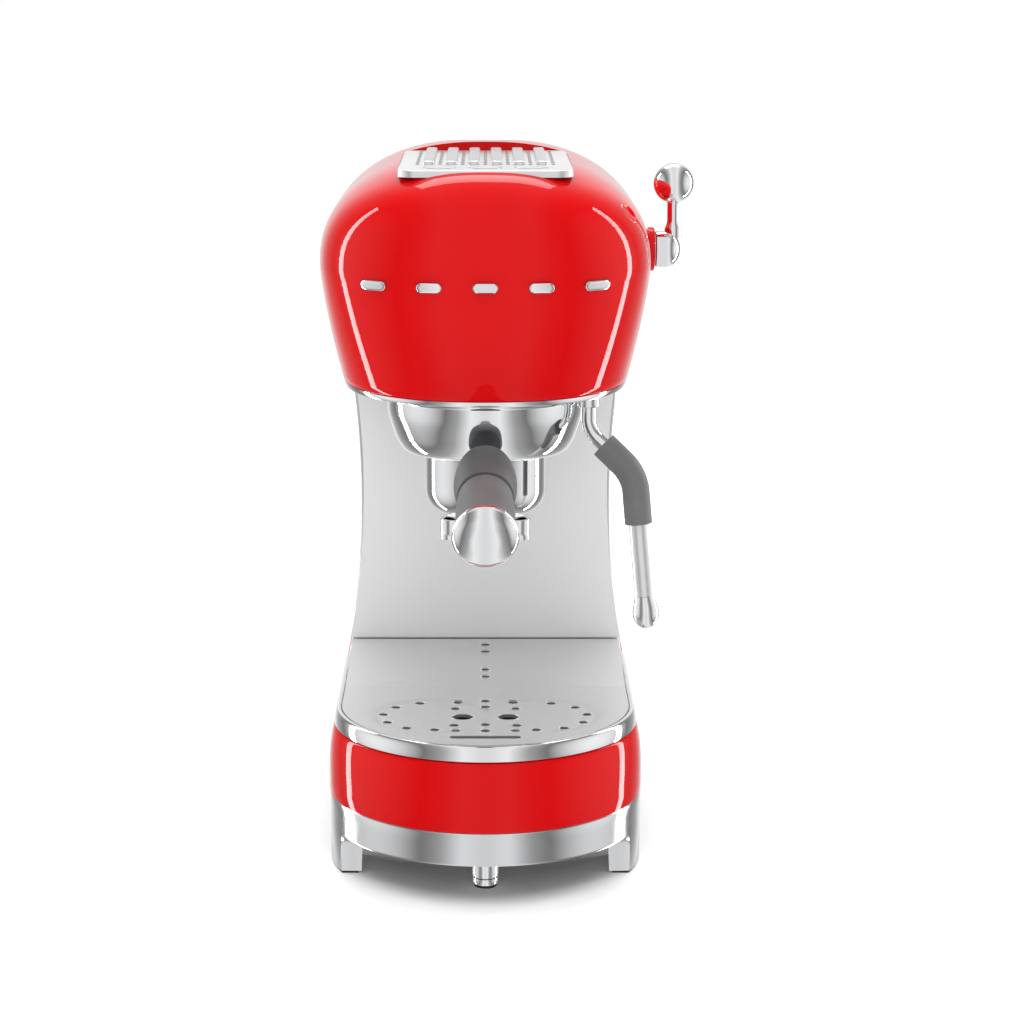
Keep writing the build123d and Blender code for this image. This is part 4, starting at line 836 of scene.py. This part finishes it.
# %% Five plain pills on the face
def face_y(x, z):
    """Where the head's front is, at a place across and up."""
    half = half_width(z)
    power = front_power(z)
    far = reach(z, head_mid_y - head_front, head_mid_y - chin_front)
    return head_mid_y - far * (1 - abs(x / half) ** power) ** (1 / power)


pill_long, pill_high, pill_t, pill_z, pill_pitch = 11.0, 4.4, 2.0, 278.0, 24.0
pill_verts, pill_faces = [], []
for step in range(-2, 3):
    loops = []
    for shrink, height in ((0.0, -0.6), (0.0, 1.2), (0.08, 1.6), (0.3, 1.88), (0.7, pill_t), (1.4, pill_t)):
        r = pill_high / 2 - shrink
        straight = (pill_long - pill_high) / 2
        loop = []
        for side, start in ((1, -pi / 2), (-1, pi / 2)):
            for i in range(17):
                a = start + pi * i / 16
                x = step * pill_pitch + side * straight + r * cos(a)
                z = pill_z + r * sin(a)
                loop.append((x, face_y(x, z) - height, z))
        loops.append(loop)
    verts, faces = stack(loops, closed=False, capped=True)
    pill_faces += [tuple(i + len(pill_verts) for i in face) for face in faces]
    pill_verts += verts
make_piece("face_pills", pill_verts, pill_faces, ["face_emblem"], sharp=50)
print("pills on the face: 5")

# %% [markdown]
# ## Cup warmer
# A steel plate sunk in the top, with raised ribs to stand cups on and dashed slots between them.
# The plate is cut in mesh code. The ribs are one rib with cross grooves, repeated across.

# %% Plate with slots
plate_z = 325.8
rib_pitch, rib_wide, rib_high, rib_count = 10.0, 5.0, 1.8, 6
rib_front, rib_back = 20.0, 107.0
plate_loops = [
    [
        (x, y, z)
        for x, y in rounded_loop(plate_half - inset, plate_low.y + inset, plate_high.y - inset, 8 - inset)
    ]
    for inset, z in ((0, recess_z), (0, plate_z - 0.5), (0.15, plate_z - 0.15), (0.5, plate_z))
]
plate_shape = stack(plate_loops, closed=False, capped=True)
plate = make_piece("warmer_plate", *plate_shape, ["cup_warmer"], "brushed_steel")
slot_count = 9
slot_step = (rib_back - rib_front) / slot_count
slot_plan = rounded_loop(0.8, 1.7 - slot_step / 2, slot_step / 2 - 1.7, 0.75, 4)
slot_cutters = []
for gap in range(rib_count + 1):
    x = (gap - rib_count / 2) * rib_pitch
    for step in range(slot_count):
        y = rib_front + slot_step * (step + 0.5)
        slot_cutters.append(
            prism_mesh([(x + px, y + py) for px, py in slot_plan], recess_z + 0.8, above_head)
        )
button_low, button_high = low_high("button_middle")
button_y = (button_low.y + button_high.y) / 2
button_r = (button_high.x - button_low.x) / 2
for x in (-20.0, 0.0, 20.0):
    slot_cutters.append(rod_mesh((x, button_y, recess_z - 5), (x, button_y, above_head), button_r + 0.35, 56))
cut(plate, merged(slot_cutters))
print("warmer slots:", slot_count * (rib_count + 1))


# %% [markdown]
# ## Ribs on the cup warmer
# One rib is cut with its cross grooves. A node tree with a count and a pitch then sets it on every
# point of a line.

# %% Ribs with cross grooves, repeated
def rib_tree(name, shape, material):
    """Node tree that repeats one rib across a line."""
    tree = bpy.data.node_groups.new(name, "GeometryNodeTree")
    sizes = (("Rib Count", "NodeSocketInt", rib_count), ("Rib Pitch", "NodeSocketFloat", 0.01))
    for label, kind, value in sizes:
        tree.interface.new_socket(label, in_out="INPUT", socket_type=kind).default_value = value
    tree.interface.new_socket("Geometry", in_out="OUTPUT", socket_type="NodeSocketGeometry")
    node = tree.nodes.new
    come, go = node("NodeGroupInput"), node("NodeGroupOutput")
    row, lay = node("GeometryNodeMeshLine"), node("GeometryNodeInstanceOnPoints")
    step, start = node("ShaderNodeCombineXYZ"), node("ShaderNodeCombineXYZ")
    less, part, whole = (node("ShaderNodeMath") for _ in range(3))
    source, real, paint = (node(kind) for kind in (
        "GeometryNodeObjectInfo", "GeometryNodeRealizeInstances", "GeometryNodeSetMaterial"))
    source.inputs["Object"].default_value = shape
    paint.inputs["Material"].default_value = material
    less.operation, less.inputs[1].default_value = "SUBTRACT", 1.0
    part.operation, part.inputs[1].default_value = "MULTIPLY", -0.5
    whole.operation = "MULTIPLY"
    link = tree.links.new
    link(come.outputs["Rib Count"], row.inputs["Count"])
    link(come.outputs["Rib Count"], less.inputs[0])
    link(less.outputs[0], part.inputs[0])
    link(part.outputs[0], whole.inputs[0])
    link(come.outputs["Rib Pitch"], whole.inputs[1])
    link(whole.outputs[0], start.inputs["X"])
    link(come.outputs["Rib Pitch"], step.inputs["X"])
    link(start.outputs["Vector"], row.inputs["Start Location"])
    link(step.outputs["Vector"], row.inputs["Offset"])
    link(row.outputs["Mesh"], lay.inputs["Points"])
    link(source.outputs["Geometry"], lay.inputs["Instance"])
    link(lay.outputs["Instances"], real.inputs["Geometry"])
    link(real.outputs["Geometry"], paint.inputs["Geometry"])
    link(paint.outputs["Geometry"], go.inputs["Geometry"])
    return tree


rib_loops = [
    [
        (x, y, z)
        for x, y in rounded_loop(rib_wide / 2 - inset, rib_front + inset, rib_back - inset, 1.5 - inset, 5)
    ]
    for inset, z in ((0, plate_z - 0.2), (0, plate_z + 1.2), (0.18, plate_z + 1.6), (0.6, plate_z + rib_high))
]
rib = make_piece("rib_shape", *stack(rib_loops, closed=False, capped=True), ["cup_warmer"], "brushed_steel")
groove_count = 27
groove_step = (rib_back - rib_front) / groove_count
cut(rib, merged([
    block_mesh(
        (-4, rib_front + groove_step * (i + 0.72), plate_z + 1.0),
        (4, rib_front + groove_step * (i + 1.1), above_head),
    )
    for i in range(groove_count - 1)
]))
rib_holder = bpy.data.objects.new("ribs", bpy.data.meshes.new("ribs"))
bpy.context.scene.collection.objects.link(rib_holder)
runner = rib_holder.modifiers.new("repeat", "NODES")
runner.node_group = rib_tree("warmer_ribs", rib, finish["brushed_steel"])
for item in runner.node_group.interface.items_tree:
    if item.name == "Rib Pitch":
        runner[item.identifier] = rib_pitch * MM
bpy.context.view_layer.update()
rib_mesh = bpy.data.meshes.new_from_object(rib_holder.evaluated_get(bpy.context.evaluated_depsgraph_get()))
rib_holder.modifiers.clear()
bpy.data.objects.remove(rib_holder)
bpy.data.objects.remove(rib)
ribs = bpy.data.objects.new("warmer_ribs", rib_mesh)
bpy.context.scene.collection.objects.link(ribs)
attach(ribs, body_of("cup_warmer"))
print("warmer ribs:", rib_count, "with", groove_count - 1, "grooves each")

# %% [markdown]
# ## Brew group and portafilter
# These are turned parts, so each is a profile spun round its axis. Small steps and rounded edges in
# the profile are what make plated metal look real: each one catches its own thin highlight.

# %% Group collar
collar_r = (collar_high.x - collar_low.x) / 2
rim_z = collar_low.z
collar_outer = smooth_curve([(rim_z, 35.5), (rim_z + 0.7, 37.4), (rim_z + 3.4, 39.4), (rim_z + 8.5, 41.6),
                             (rim_z + 17, 44.0), (rim_z + 24.2, collar_r - 0.35)], 8)
collar_lip = [(rim_z + 24.6, collar_r - 0.45), (rim_z + 25.0, collar_r - 0.2), (rim_z + 25.6, collar_r),
              (rim_z + 26.6, collar_r), (rim_z + 27.3, collar_r - 0.15), (collar_high.z, collar_r - 0.5)]
collar_inner = smooth_curve([(collar_high.z, collar_r - 2), (rim_z + 17, collar_r - 3), (rim_z + 8.5, 39.4),
                             (rim_z + 3.2, 36.0), (rim_z + 2.2, 32.6), (rim_z, 32.6)], 4)
turned("polished_collar", [(z - rim_z, r) for z, r in collar_outer + collar_lip + collar_inner],
       (0, brew_y, rim_z), (0, 0, 1), ["group_collar"], turns=160, closed=True)

# %% Handle grip and end cap
handle_tilt = radians(14.2)
handle_from = (0, -20, 196)
handle_along = (0, -cos(handle_tilt), -sin(handle_tilt))
grip_section = [(26.0, 3.2), (26.0, 10.6), (26.25, 11.1), (26.8, 11.5)]
grip_section += smooth_curve([(27.5, 11.7), (34, 12.15), (42, 12.5), (52, 12.66), (60.3, 12.7)], 5)
grip_section += [(60.75, 12.55), (61.0, 12.2), (61.0, 3.2)]
turned("handle_grip", grip_section, handle_from, handle_along, ["grip"], turns=120, closed=True)
neck_section = [(-6.2, 0.2), (-6.2, 8.4), (-5.9, 9.6), (-5.0, 10.6)]
neck_section += smooth_curve([(-4.0, 11.1), (0, 12.2), (6, 13.2), (13, 13.7), (20, 13.4), (25.0, 12.5)], 6)
neck_section += [(25.5, 12.2), (25.7, 11.6), (25.7, 0.2)]
turned("handle_neck", neck_section, handle_from, handle_along, ["portafilter_neck"], turns=120)
cap_section = [(61.2, 0.3), (61.2, 13.1), (61.35, 13.6), (61.7, 13.95), (62.2, 14.1), (63.6, 14.1)]
cap_section += [(64.0, 13.9), (64.15, 13.55)]
cap_dome = [(64.4, 13.5), (65.6, 12.6), (67.3, 10.4), (68.7, 6.9), (69.35, 3.2), (69.5, 0.2)]
cap_section += smooth_curve(cap_dome, 7)
turned("handle_cap", cap_section, handle_from, handle_along, ["end_cap"], turns=120)
print("handle tilt", round(handle_tilt, 3), "rad")

# %% [markdown]
# ## Steam lever
# A ball on a thin rod. The ball is turned with a small neck where the rod enters, which a plain
# ball would lack.

# %% Lever ball
ball_low, ball_high = low_high("lever_ball")
ball_mid = (ball_low + ball_high) / 2
ball_r = (ball_high.x - ball_low.x) / 2
ball_section = [(-ball_r * cos(radians(a)), ball_r * sin(radians(a))) for a in range(18, 180, 3)]
ball_section = [(ball_low.z - ball_mid.z + 0.02, 3.1), (-ball_r * 0.975, 3.1)] + ball_section[1:]
ball_section.append((ball_r, 0.15))
turned("turned_ball", ball_section, tuple(ball_mid), (0, 0, 1), ["lever_ball"], turns=96)
print("lever ball radius", round(ball_r, 2))

# %% [markdown]
# ## Camera and light
# A long lens a little over a metre away looks down at the front by about twelve degrees. Two tall
# strips stand on either side, further back than the machine, and a soft box hangs above and behind
# it. A weak fill in front and a wide light from above carry the colours. Those two and the floor
# are hidden from reflections, so gloss shows the strips, the box and the surround's pale and dark
# bands. To the camera itself the surround is plain white.

# %% Camera
camera_data = bpy.data.cameras.new("front_camera")
camera_data.lens = 93.2
camera_data.sensor_width = 36
camera_data.shift_x = 0.026
camera = bpy.data.objects.new("front_camera", camera_data)
camera.location = (0, -1.152, 0.4142)
camera.rotation_euler = (radians(90 - 11.77), 0, 0)
bpy.context.scene.collection.objects.link(camera)
bpy.context.scene.camera = camera
bpy.context.scene.view_settings.view_transform = "Standard"


# %% Lights
def soft_box(name, place, aim, size, power):
    """Rectangular area light pointing at a spot, in metres and watts."""
    data = bpy.data.lights.new(name, "AREA")
    data.shape = "RECTANGLE"
    data.size, data.size_y = size
    data.energy = power
    lamp = bpy.data.objects.new(name, data)
    lamp.location = place
    lamp.rotation_euler = (Vector(aim) - Vector(place)).to_track_quat("-Z", "Y").to_euler()
    bpy.context.scene.collection.objects.link(lamp)
    return lamp


for strip, side in (("left_strip", -1.15), ("right_strip", 1.15)):
    soft_box(strip, (side, 0.62, 0.05), (0, 0.05, 0.05), (0.16, 2.4), 13)
soft_box("overhead", (0, 0.75, 1.4), (0, 0.1, 0.3), (1.0, 0.4), 6)
soft_box("front_fill", (0, -2.2, 0.9), (0, 0, 0.2), (1.6, 1.2), 7).visible_glossy = False
ceiling = bpy.data.lights.new("ceiling", "SUN")
ceiling.energy = 2.1
ceiling.angle = radians(75)
ceiling_lamp = bpy.data.objects.new("ceiling", ceiling)
ceiling_lamp.rotation_euler = (radians(8), 0, 0)
ceiling_lamp.visible_glossy = False
bpy.context.scene.collection.objects.link(ceiling_lamp)

# %% Surround
world = bpy.data.worlds.new("studio")
world.use_nodes = True
bpy.context.scene.world = world
sky = world.node_tree
backdrop = sky.nodes["Background"]
backdrop.inputs["Color"].default_value = (1, 1, 1, 1)
way = sky.nodes.new("ShaderNodeTexCoord")
parts = sky.nodes.new("ShaderNodeSeparateXYZ")
cards = sky.nodes.new("ShaderNodeValToRGB")
stops = [(0.0, 0.95), (0.14, 0.2), (0.24, 0.4), (0.36, 0.95), (0.47, 0.8)]
stops += [(1 - place, bright) for place, bright in reversed(stops)]
for place, bright in stops:
    stop = cards.color_ramp.elements.new(place)
    stop.color = (bright, bright, bright, 1)
cards.color_ramp.elements.remove(cards.color_ramp.elements[0])
cards.color_ramp.elements.remove(cards.color_ramp.elements[-1])
unit = sky.nodes.new("ShaderNodeMapRange")
unit.inputs["From Min"].default_value = -1.0
seen = sky.nodes.new("ShaderNodeLightPath")
level = sky.nodes.new("ShaderNodeMapRange")
level.inputs["To Max"].default_value = 1.0
sky.links.new(way.outputs["Generated"], parts.inputs["Vector"])
sky.links.new(parts.outputs["X"], unit.inputs["Value"])
sky.links.new(unit.outputs["Result"], cards.inputs["Fac"])
sky.links.new(cards.outputs["Color"], level.inputs["To Min"])
sky.links.new(seen.outputs["Is Camera Ray"], level.inputs["Value"])
sky.links.new(level.outputs["Result"], backdrop.inputs["Strength"])

# %% Floor
floor_mesh = bpy.data.meshes.new("floor")
floor_mesh.from_pydata([(-8, -8, 0), (8, -8, 0), (8, 8, 0), (-8, 8, 0)], [], [(0, 1, 2, 3)])
floor = bpy.data.objects.new("floor", floor_mesh)
bpy.context.scene.collection.objects.link(floor)
floor_paint, _ = new_finish("floor_paint", (0.93, 0.93, 0.93), 0.75)
floor.visible_glossy = False
floor_mesh.materials.append(floor_paint)

# %% [markdown]
# ## CAD parts that keep their shape
# Sheet parts, moulded parts and everything inside are right as the CAD made them. Each takes the
# finish of its material slot.

# %% Paint the carried-over parts
special = {"column_panel": "panel_steel"}
for node, part in frame["nodes"].items():
    part.data.materials.clear()
    part.data.materials.append(finish[special.get(node, node_slot[node])])
print("painted", len(frame["nodes"]), "CAD parts")
